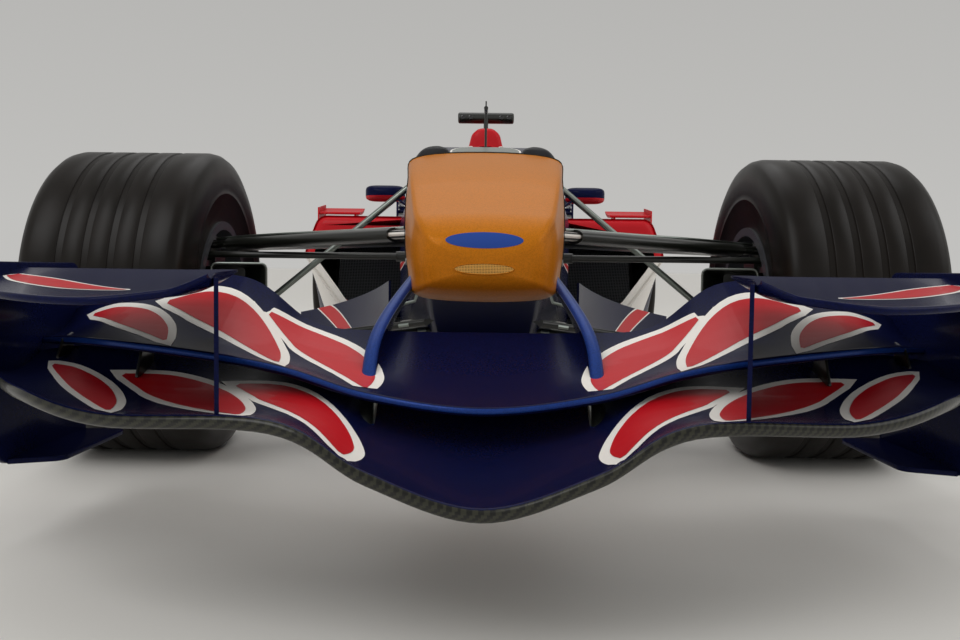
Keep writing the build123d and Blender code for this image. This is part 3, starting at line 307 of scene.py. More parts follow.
def make_finishes(paint):
    """Make every finish from what the real surface is and how it was made."""
    navy, gold, edge = tuple(paint.navy), tuple(paint.gold), tuple(paint.edge_blue)
    FINISH.update(
        # Deep blue that goes nearly black in shade, with a faint glint
        body_paint=metallic_paint(
            "Sprayed navy metallic", navy, linear("090d26"), paint, 0.0, 0.25, 0.06, 0.05
        ),
        # Brighter blue painted on the leading edges as a painted highlight: a thin line where an edge turns
        # to the light
        edge_blue=metallic_paint("Blue metallic painted highlight", edge, linear("12306f"), paint, 0.3, 0.3, 0.15),
        # Even orange gold with a faint glint
        nose_paint=metallic_paint(
            "Sprayed gold metallic", gold, linear("a86512"), paint, 0.12, 0.34, 0.05, 0.05
        ),
        # Full, even colour with a soft gloss
        red_paint=gloss_paint("Sprayed red enamel", tuple(paint.red)),
        # Warm white with the same soft gloss
        white_paint=gloss_paint("Sprayed white enamel", tuple(paint.white)),
        # Plain mid blue with the same soft gloss
        badge_blue=gloss_paint("Sprayed blue enamel", linear("1c3f8c")),
        # Dark red with a soft gloss, unlit
        lamp_red=gloss_paint("Moulded red acrylic", linear("5e0a0c")),
        # Bare weave: small slanting steps, in turn light and dark
        carbon_weave=carbon_twill("Lacquered carbon twill", paint),
        # Nearly black with a broad soft shine, its weave too faint to see
        satin_carbon=moulded("Satin lacquered carbon fibre", "12140f", 0.35, coat=0.4),
        # Near-black without shine: painted shade inside the airbox's throat and on the cover's closed rear
        # end, which reads as depth and as an opening; also the dark line of the nose joint
        dark_hollow=moulded("Matt black painted shade and joint", "070707", 0.8),
        # Brown and dry
        plank_wood=moulded("Pressed beech laminate", "6b4a2c", 0.6),
        # Painted casting, dull grey under a thin shine
        wheel_magnesium=moulded("Painted cast magnesium", "3a3b40", 0.4, coat=0.3),
        # Dry dark grey, without shine
        disc_carbon=moulded("Sintered carbon", "2a2a2a", 0.75),
        # Smooth dark face that mirrors the room
        screen_glass=moulded("Polished tinted glass", "0b0f14", 0.15, coat=0.8),
        # Soft black that swallows light, with the fine tooth of its cover
        padding=moulded("Cloth-covered foam", "14151a", 0.7, grain=CLOTH_GRAIN, depth=0.4),
        # Near-black and matt, with a finer tooth
        wheel_grip=moulded("Moulded rubber grip", "18181a", 0.6, grain=GRIP_GRAIN, depth=0.5),
        # Black with a brown cast, satin, duller in patches
        tyre_rubber=racing_rubber("Moulded racing rubber"),
        # Dull grey that scatters the light
        cast_casing=metal("Cast magnesium", "8c8c8a", 0.5),
        # Brownish shine of steel that was hot
        pipe_steel=metal("Heat-tinted bent steel", "8a7460", 0.35),
        # Clean grey shine, a little uneven
        machined_metal=metal("Machined aluminium", "9c9c9c", 0.35),
        # Grey with a slight green cast and a soft shine
        satin_silver=metal("Brushed aluminium", "8f9690", 0.3),
        # Warm brown shine
        bronze_metal=metal("Bronze anodised aluminium", "a87840", 0.35),
        # Clear blue shine
        blue_metal=metal("Blue anodised aluminium", "2c50b0", 0.3),
        # Bright and clear, as silvered glass is
        mirror_face=metal("Silvered glass", "e8ebee", 0.12),
        # Pale grey fins over nearly black gaps, painted shade of the core's depth
        radiator_core=grid_metal("Brazed aluminium fins", FIN_PITCH, 0.3, "16171a", "9a9ea2"),
        # Pale gold wires over brown gaps, painted shade of the hole behind
        nose_mesh=grid_metal("Woven wire mesh", MESH_PITCH, 0.45, "4a3008", "e4ac58"),
        # Blue and matt, with ribs that show as fine lines
        belt_webbing=webbing("Woven polyester webbing", "1b2c66"),
    )


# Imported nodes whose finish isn't the one that their material slot names
NODE_FINISH = {
    "front_wing_fences": "body_paint",
    "bargeboards": "body_paint",
    "front_pushrods": "satin_silver",
    "front_upright_left": "satin_carbon",
    "front_upright_right": "satin_carbon",
    "rear_toe_links": "satin_silver",
}


def curve_value(t, before, start, end, after):
    """Point on a cubic from start to end, whose slopes come from the points around."""
    slope_start, slope_end = (end - before) / 2, (after - start) / 2
    rise = end - start
    return (
        start
        + slope_start * t
        + (3 * rise - 2 * slope_start - slope_end) * t**2
        + (slope_start + slope_end - 2 * rise) * t**3
    )


def eased(rows, steps, round_again=False):
    """Rows of numbers, with steps of an even curve through them between each two."""
    result = []
    count = len(rows)
    for number in range(count if round_again else count - 1):
        if round_again:
            four = [rows[(number + shift) % count] for shift in (-1, 0, 1, 2)]
        else:
            four = [rows[min(max(number + shift, 0), count - 1)] for shift in (-1, 0, 1, 2)]
        for step in range(steps):
            result.append([curve_value(step / steps, *values) for values in zip(*four)])
    return result if round_again else [*result, list(rows[-1])]


def loft(rings, caps=True):
    """Points and faces of a skin over rings of equally many points."""
    columns = len(rings[0])
    points = [point for ring in rings for point in ring]
    faces = []
    for row in range(len(rings) - 1):
        for column in range(columns):
            beside = (column + 1) % columns
            start, after = row * columns, (row + 1) * columns
            faces.append((start + column, start + beside, after + beside, after + column))
    if caps:
        faces.append(tuple(range(columns))[::-1])
        faces.append(tuple((len(rings) - 1) * columns + column for column in range(columns)))
    return points, faces


def lathe(profile, centre, steps):
    """Points and faces of a closed (x, radius) profile turned about a cross-car axle."""
    rings = []
    for step in range(steps):
        angle = math.tau * step / steps
        rings.append(
            [
                (centre[0] + x, centre[1] + radius * math.cos(angle), centre[2] + radius * math.sin(angle))
                for x, radius in profile
            ]
        )
    points, faces = loft([*rings, rings[0]], False)
    return points[: -len(profile)], [tuple(i % (steps * len(profile)) for i in face) for face in faces]


def at(place):
    return Vector(place) * MM


STEEP = 0.9


def square_to(way):
    """Two directions square to a way and to each other."""
    across = way.cross(Vector((0, 0, 1)) if abs(way.z) < STEEP else Vector((0, 1, 0))).normalized()
    return across, across.cross(way)


def circle(middle, wide, high, sides):
    """Ring of points from its middle and its two half axes."""
    turns = [math.tau * i / sides for i in range(sides)]
    return [middle + wide * math.cos(turn) + high * math.sin(turn) for turn in turns]


def followed(path):
    """Each point of a path in millimetres, as metres, and the way that the path takes there."""
    for number, place in enumerate(path):
        before, after = path[max(number - 1, 0)], path[min(number + 1, len(path) - 1)]
        yield at(place), (at(after) - at(before)).normalized()


def tube(path, radius, sides=10):
    """Round bar along a path in millimetres."""
    rings = []
    for middle, way in followed(path):
        across, up = square_to(way)
        rings.append(circle(middle, across * radius * MM, up * radius * MM, sides))
    return loft(rings)


def closed_tube(path, radius, sides=10):
    return tube([*path, path[0]], radius, sides)


def strut(start, end, chord, thickness, sides=20):
    """Streamlined bar between two points in millimetres, its chord along the car."""
    way = (at(end) - at(start)).normalized()
    along = (Vector((0, 1, 0)) - way * way.y).normalized()
    wide, high = along * chord / 2 * MM, way.cross(along) * thickness / 2 * MM
    return loft([circle(at(place), wide, high, sides) for place in (start, end)])


def strap(path, side, width, thickness):
    """Flat webbing along a path in millimetres, its width along side."""
    edge = Vector(side).normalized() * width / 2 * MM
    rings = []
    for middle, way in followed(path):
        out = way.cross(edge).normalized() * thickness / 2 * MM
        rings.append([middle + edge + out, middle + edge - out, middle - edge - out, middle - edge + out])
    return loft(rings)


# Section of a small round head: shares of its height and of its radius
HEAD_PROFILE = ((-0.3, 1), (0.7, 1), (0.95, 0.82), (1, 0.45), (0.75, 0.35))


def knob(place, way, radius, height, sides=12):
    """Small round head standing on a point in millimetres."""
    way = Vector(way).normalized()
    across, up = square_to(way)
    rings = []
    for rise, reach in HEAD_PROFILE:
        wide, high = across * radius * reach * MM, up * radius * reach * MM
        rings.append(circle(at(place) + way * height * rise * MM, wide, high, sides))
    return loft(rings)


CORNER_STEPS = 5
# Most of a side that one corner's rounding may take
CORNER_SHARE = 0.49


def outline(corners, radii):
    """Closed outline from corner points, each rounded by its radius."""
    result = []
    for number, corner in enumerate(corners):
        here = Vector(corner)
        back = Vector(corners[number - 1]) - here
        on = Vector(corners[(number + 1) % len(corners)]) - here
        radius = radii[number] if isinstance(radii, (list, tuple)) else radii
        wanted = radius / math.tan(back.angle(on) / 2)
        reach = min(wanted, back.length * CORNER_SHARE, on.length * CORNER_SHARE)
        first, last = here + back.normalized() * reach, here + on.normalized() * reach
        for step in range(CORNER_STEPS + 1):
            t = step / CORNER_STEPS
            result.append(first * (1 - t) ** 2 + here * (2 * t * (1 - t)) + last * t**2)
    return result


def shrunk(points, distance):
    """Outline moved inwards by a distance."""
    area = sum(a.x * b.y - b.x * a.y for a, b in zip(points, [*points[1:], points[0]]))
    turn = 1 if area > 0 else -1
    result = []
    for number, here in enumerate(points):
        way = points[(number + 1) % len(points)] - points[number - 1]
        if way.length == 0:
            result.append(here.copy())
            continue
        way = way.normalized()
        result.append(here + Vector((-way.y, way.x)) * distance * turn)
    return result


def slab(corners, radii, low, high, place, soft=1.0):
    """Plate or pad between two levels, its edges rounded by soft; place maps (a, b, level)."""
    shape = outline(corners, radii)
    levels = [(low, soft), (low + soft * 0.3, soft * 0.3), (low + soft, 0)]
    levels += [(high - soft, 0), (high - soft * 0.3, soft * 0.3), (high, soft)]
    rings = [[at(place(p.x, p.y, level)) for p in shrunk(shape, inset)] for level, inset in levels]
    return loft(rings)


def square_to_x(a, b, level):
    return (level, a, b)


def square_to_z(a, b, level):
    return (a, b, level)


def together(*forms):
    """One form of several."""
    points, faces = [], []
    for some_points, some_faces in forms:
        faces += [tuple(i + len(points) for i in face) for face in some_faces]
        points += list(some_points)
    return points, faces


def mirrored(form):
    points, faces = form
    return [(-x, y, z) for x, y, z in points], [tuple(reversed(face)) for face in faces]


def on_side(form, side):
    return form if side > 0 else mirrored(form)


def both(*forms):
    one = together(*forms)
    return together(one, mirrored(one))


def whole_outline(half):
    """Points of both halves from those of the left one."""
    return [*half, *[(-x, y) for x, y in reversed(half)]]


def flat_row(row):
    """Station and points of a row, such as (y, (x, z), (x, z)), as plain numbers."""
    return [row[0], *[value for point in row[1:] for value in point]]


def points_of(row):
    """The (x, z) points of a flat row."""
    return [(row[i], row[i + 1]) for i in range(1, len(row), 2)]


def ring_points(corners, station, radii, whole=True):
    """Ring square to the car's length, from (x, z) corners of the left half or of all."""
    corners = whole_outline(corners) if whole else corners
    return [(p.x * MM, station * MM, p.y * MM) for p in outline(corners, radii)]


def body_rings(table, steps, radii, whole=True):
    """Rings of a body from rows of station, (x, z), (x, z) and so on."""
    rows = eased([flat_row(row) for row in table], steps)
    return [ring_points(points_of(row), row[0], radii, whole) for row in rows]


def cut_level(form, height):
    """Form with an edge all round it at a height."""
    bm = bmesh.new()
    corners = [bm.verts.new(point) for point in form[0]]
    for face in form[1]:
        bm.faces.new([corners[i] for i in face])
    everything = [*bm.verts, *bm.edges, *bm.faces]
    bmesh.ops.bisect_plane(bm, geom=everything, plane_co=(0, 0, height), plane_no=(0, 0, 1))
    bm.verts.index_update()
    points = [tuple(vertex.co) for vertex in bm.verts]
    faces = [tuple(vertex.index for vertex in face.verts) for face in bm.faces]
    bm.free()
    return points, faces


def line_on(rings, column):
    """Path in millimetres through the same point of each ring."""
    return [tuple(Vector(ring[column]) / MM) for ring in rings]


def line_round(ring, back=0):
    """Path in millimetres round a ring, moved along the car."""
    return [tuple(Vector(point) / MM + Vector((0, back, 0))) for point in ring]


# Edges sharper than this, in degrees, aren't smoothed
SHARP_ANGLE = 35


def mesh_of(name, form, finishes, zones=None, sharp=SHARP_ANGLE):
    points, faces = form
    mesh = bpy.data.meshes.new(name)
    mesh.from_pydata([tuple(point) for point in points], [], faces)
    for one in finishes:
        mesh.materials.append(FINISH[one])
    if zones:
        mesh.polygons.foreach_set("material_index", zones)
    bm = bmesh.new()
    bm.from_mesh(mesh)
    bmesh.ops.recalc_face_normals(bm, faces=bm.faces)
    bm.to_mesh(mesh)
    bm.free()
    mesh.shade_smooth()
    mesh.set_sharp_from_angle(angle=math.radians(sharp))
    return mesh


def piece(
    name, form, finish, body="chassis", stands_for=(), zones=None, sharp=SHARP_ANGLE
):
    """Object of a form that rides on a body, with one finish or one for each zone."""
    finishes = [finish] if isinstance(finish, str) else finish
    made = bpy.data.objects.new(name, mesh_of(name, form, finishes, zones, sharp))
    bpy.context.scene.collection.objects.link(made)
    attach(made, body)
    if stands_for:
        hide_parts(*stands_for)
    return made


def metal_heads(name, heads):
    """Screws, bolts or studs on both sides of the car."""
    piece(name, both(*heads), "machined_metal")


def take_shape(made):
    """Keep what the modifiers make of a piece, and drop the modifiers."""
    graph = bpy.context.evaluated_depsgraph_get()
    shape = bpy.data.meshes.new_from_object(made.evaluated_get(graph), depsgraph=graph)
    made.modifiers.clear()
    made.data = shape
    return shape


def carve(made, form, finish):
    """Cut a form out of a piece; the faces that the cut leaves get their own finish."""
    cutter = bpy.data.objects.new("cutter", mesh_of("cutter", form, [finish]))
    bpy.context.scene.collection.objects.link(cutter)
    cutting = made.modifiers.new("cut", "BOOLEAN")
    cutting.object = cutter
    cutting.operation = "DIFFERENCE"
    cutting.solver = "MANIFOLD"
    cutting.material_mode = "TRANSFER"
    shape = take_shape(made)
    bpy.data.objects.remove(cutter)
    shape.shade_smooth()
    shape.set_sharp_from_angle(angle=math.radians(SHARP_ANGLE))


CLOTH_FRAMES = 20
SMOOTHING_ROUNDS = 4


def swell(pads, fill, soft):
    """Make pads of sewn foam: an even mesh, blown up as cloth, held near its start and smoothed."""
    starts = {}
    for pad in pads:
        even = pad.modifiers.new("even", "REMESH")
        even.mode = "VOXEL"
        even.voxel_size = soft.voxel
        shape = take_shape(pad)
        starts[pad] = [vertex.co.copy() for vertex in shape.vertices]
    for pad in pads:
        cloth = pad.modifiers.new("swell", "CLOTH")
        cloth.settings.use_pressure = True
        cloth.settings.uniform_pressure_force = soft.pressure
        cloth.settings.effector_weights.gravity = 0
    for number in range(1, CLOTH_FRAMES + 1):
        bpy.context.scene.frame_set(number)
    for pad in pads:
        shape = take_shape(pad)
        for vertex, start in zip(shape.vertices, starts[pad]):
            move = vertex.co - start
            if move.length > soft.swell:
                vertex.co = start + move.normalized() * soft.swell
    bpy.context.scene.frame_set(1)
    for pad in pads:
        pad.modifiers.new("smooth", "SMOOTH").iterations = SMOOTHING_ROUNDS
        pad.modifiers.new("fine", "SUBSURF").levels = 1
        take_shape(pad).shade_smooth()


def surface_of(one, zone=None):
    """Search tree of a piece's or node's surface, or of one zone of it."""
    one.data.calc_loop_triangles()
    points = [one.matrix_world @ vertex.co for vertex in one.data.vertices]
    triangles = [part.vertices[:] for part in one.data.loop_triangles if zone in (None, part.material_index)]
    return BVHTree.FromPolygons(points, triangles)


def eye_place():
    """Where the photograph was taken from, in metres."""
    stage = bpy.context.scene.racing_car_stage
    return Vector((0, FRONT_AXLE * MM - stage.eye_distance, stage.eye_height))


# How far from the car's middle the rays from its left and from above start, in metres
RAY_START = 3


def from_eye(across, down):
    """Ray through a point of the photograph, across from the car's middle, in pixels."""
    way = Vector((across / FOCAL_PIXELS, 1, (HORIZON - down) / FOCAL_PIXELS))
    return eye_place(), way.normalized()


def from_left(along, height):
    """Ray across the car from its left, placed in millimetres."""
    return Vector((RAY_START, along * MM, height * MM)), Vector((-1, 0, 0))


def from_above(across, along):
    """Ray straight down, placed in millimetres."""
    return Vector((across * MM, along * MM, RAY_START)), Vector((0, 0, -1))


def screw_at(surface, ray, radius):
    """Flat screw head where a ray meets a surface."""
    hit, normal, _, _ = surface.ray_cast(*ray)
    return knob(hit / MM, normal, radius, 1.6)


# Points of a band further apart than this, in metres, lie on different parts of the surface
DEEPEST_STEP = 0.1
EDGE_HALVINGS = 9


class Aim:
    """Rays across one place of a painted band, and where they land on a surface."""

    def __init__(self, ray, surface, lift, middle, across):
        self.ray, self.surface, self.lift = ray, surface, lift
        self.middle, self.across = middle, across

    def land(self, share):
        """Point just off the surface at a share of the half width, or None."""
        start, direction = self.ray(*(self.middle + self.across * share))
        hit, normal, _, _ = self.surface.ray_cast(start, direction)
        if hit is None:
            return None
        return hit + (normal if normal.dot(direction) < 0 else -normal) * self.lift

    def last(self, inside, outside):
        """Furthest share towards one that misses the surface at which a ray still lands."""
        point = self.land(inside)
        for _ in range(EDGE_HALVINGS):
            share = (inside + outside) / 2
            landed = self.land(share)
            if landed is not None and (landed - point).length < DEEPEST_STEP:
                inside = share
            else:
                outside = share
        return inside

    def row(self, cells):
        """Evenly spaced points over the widest part of the band that lies on the surface."""
        shares = [2 * cell / cells - 1 for cell in range(cells + 1)]
        runs, before = [], None
        for share in shares:
            point = self.land(share)
            if point is not None:
                if before is not None and (point - before).length < DEEPEST_STEP:
                    runs[-1].append(share)
                else:
                    runs.append([share])
            before = point
        if not runs:
            return None
        run = max(runs, key=len)
        low = run[0] if run[0] == -1 else self.last(run[0], run[0] - 2 / cells)
        high = run[-1] if run[-1] == 1 else self.last(run[-1], run[-1] + 2 / cells)
        points = [self.land(low + (high - low) * cell / cells) for cell in range(cells + 1)]
        return None if None in points else points


def band(spine, ray, surface, lift, grow=0.0, steps=30, cells=20):
    """Painted band on a surface: spine rows are (a, b, half width) as the rays see them."""
    rows = eased(spine, steps)
    if grow:
        tips = []
        for end, inner in ((rows[0], rows[1]), (rows[-1], rows[-2])):
            way = Vector((end[0] - inner[0], end[1] - inner[1])).normalized() * grow * 2
            tips.append([end[0] + way.x, end[1] + way.y, -grow])
        rows = [tips[0], *rows, tips[1]]
    points, faces, above = [], [], None
    for number, (a, b, half) in enumerate(rows):
        before, after = rows[max(number - 1, 0)], rows[min(number + 1, len(rows) - 1)]
        way = Vector((after[0] - before[0], after[1] - before[1])).normalized()
        across = Vector((-way.y, way.x)) * (max(half, -grow) + grow)
        row = Aim(ray, surface, lift, Vector((a, b)), across).row(cells)
        if row is None:
            above = None
            continue
        start = len(points)
        points += [tuple(point) for point in row]
        for cell in range(cells if above else 0):
            steepest = max((row[cell + i] - above[cell + i]).length for i in (0, 1))
            if steepest < DEEPEST_STEP:
                back = start - cells - 1 + cell
                faces.append((back, back + 1, start + cell + 1, start + cell))
        above = row
    return points, faces


def sweeps(name, spines, ray, surfaces, edge, thicker=1):
    """Red sweeps with a white edge, painted on the surfaces one by one and on both sides of the car."""
    lift = bpy.context.scene.racing_car_paint.lift * thicker
    for colour, level, grow in (("white", 1, edge), ("red", 2, 0)):
        forms = [band(spine, ray, surface, lift * level, grow) for spine in spines for surface in surfaces]
        piece(f"{name}_{colour}", both(*forms), f"{colour}_paint")


# Wing stations, as in the source: x, y and z of the leading edge, y and z of the trailing edge
MAIN_STATIONS = [
    (0, WING_LEAD + 8, 157, WING_LEAD + 310, 222),
    (120, WING_LEAD + 12, 193, WING_LEAD + 310, 226),
    (225, WING_LEAD + 34, 242, WING_LEAD + 312, 268),
    (430, WING_LEAD + 92, 238, WING_LEAD + 345, 285),
    (560, WING_LEAD + 170, 256, WING_LEAD + 400, 293),
    (688, WING_LEAD + 350, 258, WING_LEAD + 490, 276),
]
FLAP_STATIONS = [
    (0, WING_LEAD + 190, 236, WING_LEAD + 430, 316),
    (145, WING_LEAD + 215, 250, WING_LEAD + 430, 317),
    (250, WING_LEAD + 222, 280, WING_LEAD + 430, 328),
    (355, WING_LEAD + 235, 297, WING_LEAD + 440, 394),
    (535, WING_LEAD + 320, 306, WING_LEAD + 520, 384),
    (688, WING_LEAD + 505, 292, WING_LEAD + 620, 336),
]
WINGLET_STATIONS = [
    (300, WING_LEAD + 70, 398, WING_LEAD + 92, 400),
    (322, WING_LEAD + 48, 386, WING_LEAD + 185, 402),
    (345, WING_LEAD + 40, 380, WING_LEAD + 350, 405),
    (430, WING_LEAD + 42, 372, WING_LEAD + 380, 404),
    (560, WING_LEAD + 120, 376, WING_LEAD + 410, 404),
    (688, WING_LEAD + 290, 386, WING_LEAD + 440, 404),
]
# Sag of the middle line, thickness, and steps between two stations
MAIN_SHAPE = (18, 16, 10)
FLAP_SHAPE = (14, 12, 10)
WINGLET_SHAPE = (6, 9, 8)
# Where along the chord the sag is deepest, and half the thickness of the trailing edge
SAG_PLACE = 0.42
TRAIL_HALF = 1.5
CHORD_SHARES = [0.015, 0.03, 0.05, 0.08, 0.12, 0.18, 0.26, 0.34, 0.42, 0.52, 0.62, 0.72, 0.82, 0.92, 1]
TOP_COUNT = len(CHORD_SHARES)
NOSE_COUNT = 9


def wing_ring(row, sag, thickness):
    """Section of a wing square to X, from its trailing edge over the top, round and back."""
    x, lead_y, lead_z, trail_y, trail_z = row
    lead, trail = Vector((lead_y, lead_z)), Vector((trail_y, trail_z))
    along = (trail - lead).normalized()
    up = Vector((-along.y, along.x))
    half = thickness / 2
    middle = lead + (trail - lead) * SAG_PLACE - up * sag

    def chord_point(t, at_lead, at_trail):
        offset = at_lead + (at_trail - at_lead) * max(t - SAG_PLACE, 0) / (1 - SAG_PLACE)
        return (
            lead * ((t - SAG_PLACE) * (t - 1) / SAG_PLACE)
            + middle * (t * (t - 1) / (SAG_PLACE * (SAG_PLACE - 1)))
            + trail * (t * (t - SAG_PLACE) / (1 - SAG_PLACE))
            + up * offset
        )

    top = [chord_point(t, half, TRAIL_HALF) for t in reversed(CHORD_SHARES)]
    nose = []
    for step in range(NOSE_COUNT):
        angle = math.pi * step / (NOSE_COUNT - 1)
        nose.append(lead + up * half * math.cos(angle) - along * half * math.sin(angle))
    low = [chord_point(t, -half, -TRAIL_HALF) for t in CHORD_SHARES]
    return [(x * MM, point.x * MM, point.y * MM) for point in [*top, *nose, *low]]


def behind_edge(stations):
    """Rays straight down, placed by millimetres across and behind a wing's leading edge."""
    rows = eased(stations, 10)

    def ray(across, behind):
        after = next((i for i, row in enumerate(rows) if i and row[0] >= across), len(rows) - 1)
        start, end = rows[after - 1], rows[after]
        share = (across - start[0]) / (end[0] - start[0])
        return from_above(across, start[1] + (end[1] - start[1]) * share + behind)

    return ray


def wing_form(stations, sag, thickness, steps, whole=True):
    """Skin over a wing's stations, of both halves or of the left one."""
    table = [(-row[0], *row[1:]) for row in reversed(stations) if row[0] > 0] if whole else []
    return loft([wing_ring(row, sag, thickness) for row in eased([*table, *stations], steps)])


def wing_zones(form, edge_from, edge_to):
    """Zone of each face: 0 on top, 1 on the leading edge, 2 below."""
    columns = 2 * TOP_COUNT + NOSE_COUNT
    zones = []
    for number in range(len(form[1])):
        column = number % columns
        if number >= len(form[1]) - 2 or column >= edge_to:
            zones.append(2)
        else:
            zones.append(0 if column < edge_from else 1)
    return zones


# Sweeps of the front wing: across, behind the leading edge, half width
MAIN_SWEEPS = [
    [(150, 22, 3), (170, 84, 26), (210, 140, 41), (260, 176, 36), (316, 192, 5)],
    [(268, 22, 3), (302, 80, 28), (352, 132, 43), (414, 164, 36), (478, 174, 5)],
    [(430, 26, 3), (462, 72, 20), (506, 110, 29), (558, 132, 22), (612, 136, 4)],
]
FLAP_SWEEPS = [
    [(150, 20, 3), (168, 70, 26), (202, 116, 40), (250, 148, 35), (306, 160, 5)],
    [(264, 20, 3), (296, 66, 26), (343, 110, 40), (403, 136, 33), (464, 144, 5)],
    [(420, 20, 3), (454, 60, 21), (502, 94, 29), (558, 110, 21), (614, 108, 4)],
]
WINGLET_SWEEPS = [[(420, -2180, 3), (500, -2130, 20), (600, -2030, 22), (670, -1950, 8)]]
SWEEP_EDGE = 13


class DRESS_OT_front_wing(bpy.types.Operator):
    """Smooth main plane and flap, with a bare woven lip, a painted highlight of brighter blue on the flap's
    leading edge, and painted sweeps
    """

    bl_idname = "racing_car.front_wing"
    bl_label = "Front wing"

    def execute(self, context):
        main = wing_form(MAIN_STATIONS, *MAIN_SHAPE)
        plane = piece(
            "wing_main_skin",
            main,
            ("body_paint", "carbon_weave", "carbon_weave"),
            stands_for=["front_wing_main_plane"],
            zones=wing_zones(main, TOP_COUNT + 1, TOP_COUNT + NOSE_COUNT),
        )
        form = wing_form(FLAP_STATIONS, *FLAP_SHAPE)
        # The flap's leading edge gets a thin band of brighter blue, a painted highlight
        flap = piece(
            "wing_flap_skin",
            form,
            ("body_paint", "edge_blue", "body_paint"),
            stands_for=["front_wing_flap"],
            zones=wing_zones(form, TOP_COUNT + 1, TOP_COUNT + 4),
        )
        sweeps("main_sweeps", MAIN_SWEEPS, behind_edge(MAIN_STATIONS), [surface_of(plane, 0)], SWEEP_EDGE)
        sweeps("flap_sweeps", FLAP_SWEEPS, behind_edge(FLAP_STATIONS), [surface_of(flap, 0)], SWEEP_EDGE)
        return {"FINISHED"}


ENDPLATE_INNER = 688
ENDPLATE_OUTER = 696
ENDPLATE_FRONT = WING_LEAD + 290
ENDPLATE_REAR = WING_LEAD + 660
# Endplate corners as (y, z), and their roundings
ENDPLATE_CORNERS = [
    (ENDPLATE_FRONT, 200),
    (ENDPLATE_FRONT - 20, 300),
    (ENDPLATE_FRONT + 20, 414),
    (ENDPLATE_REAR - 40, 414),
    (ENDPLATE_REAR, 360),
    (ENDPLATE_REAR - 10, 120),
    (ENDPLATE_FRONT + 90, 120),
]
ENDPLATE_RADII = [30, 40, 26, 30, 24, 16, 50]
# Foot inside the endplate: corners as (x, y), their roundings, and its levels
FOOT_CORNERS = [
    (ENDPLATE_INNER - 70, ENDPLATE_FRONT + 125),
    (ENDPLATE_INNER + 2, ENDPLATE_FRONT + 95),
    (ENDPLATE_INNER + 2, ENDPLATE_REAR - 12),
    (ENDPLATE_INNER - 70, ENDPLATE_REAR - 12),
]
FOOT_RADII = [26, 4, 4, 18]
FOOT_LEVELS = (120, 128)
# Upright lip outside the endplate's rear edge
LIP_CORNERS = [
    (ENDPLATE_REAR - 30, 150),
    (ENDPLATE_REAR - 24, 372),
    (ENDPLATE_REAR - 20, 372),
    (ENDPLATE_REAR - 22, 150),
]
ENDPLATE_SWEEP = [
    (ENDPLATE_FRONT + 20, 170, 3),
    (ENDPLATE_FRONT + 130, 220, 20),
    (ENDPLATE_FRONT + 240, 300, 24),
    (ENDPLATE_FRONT + 330, 375, 6),
]
# Screws of the endplate: behind its front, height
ENDPLATE_SCREWS = [(70, 290), (160, 290), (220, 310), (150, 260), (260, 330)]
# Slot brackets between main plane and flap: x, then (y, z) corners
SLOT_BRACKETS = [
    (455, [(WING_LEAD + 268, 262), (WING_LEAD + 330, 272), (WING_LEAD + 330, 312), (WING_LEAD + 290, 303)]),
    (608, [(WING_LEAD + 372, 276), (WING_LEAD + 425, 282), (WING_LEAD + 425, 312), (WING_LEAD + 392, 303)]),
]


class DRESS_OT_wing_ends(bpy.types.Operator):
    """Winglets, endplates with their feet, slot brackets and plate screws"""

    bl_idname = "racing_car.wing_ends"
    bl_label = "Wing ends"

    def execute(self, context):
        form = wing_form(WINGLET_STATIONS, *WINGLET_SHAPE, False)
        winglets = piece("winglet_skins", both(form), "body_paint", stands_for=["front_wing_winglets"])
        sweeps("winglet_sweeps", WINGLET_SWEEPS, from_above, [surface_of(winglets)], 5)
        plate = slab(ENDPLATE_CORNERS, ENDPLATE_RADII, ENDPLATE_INNER, ENDPLATE_OUTER, square_to_x, 1.5)
        foot = slab(FOOT_CORNERS, FOOT_RADII, *FOOT_LEVELS, square_to_z, 1.5)
        lip = slab(LIP_CORNERS, 1, ENDPLATE_OUTER - 1, ENDPLATE_OUTER + 9, square_to_x, 0.8)
        ends = both(plate, foot, lip)
        plates = piece("endplate_skins", ends, "body_paint", stands_for=["front_wing_endplates"])
        sweeps("endplate_sweeps", [ENDPLATE_SWEEP], from_left, [surface_of(plates)], 6)
        brackets = [slab(corners, 3, x - 2, x + 2, square_to_x, 0.8) for x, corners in SLOT_BRACKETS]
        piece("slot_brackets", both(*brackets), "satin_carbon")
        places = [(ENDPLATE_OUTER, ENDPLATE_FRONT + along, height) for along, height in ENDPLATE_SCREWS]
        metal_heads("endplate_screws", [knob(place, (1, 0, 0), 5, 2) for place in places])
        return {"FINISHED"}


# Pylon stations, as in the source: height, x of the middle, y of the leading edge, chord
PYLON_STATIONS = [
    (420, 95, NOSE_TIP + 140, 250),
    (310, 152, NOSE_TIP - 60, 230),
    (170, 140, NOSE_TIP - 235, 190),
]
PYLON_THICKNESS = 19
CUFF_HEIGHTS = (222, 268)


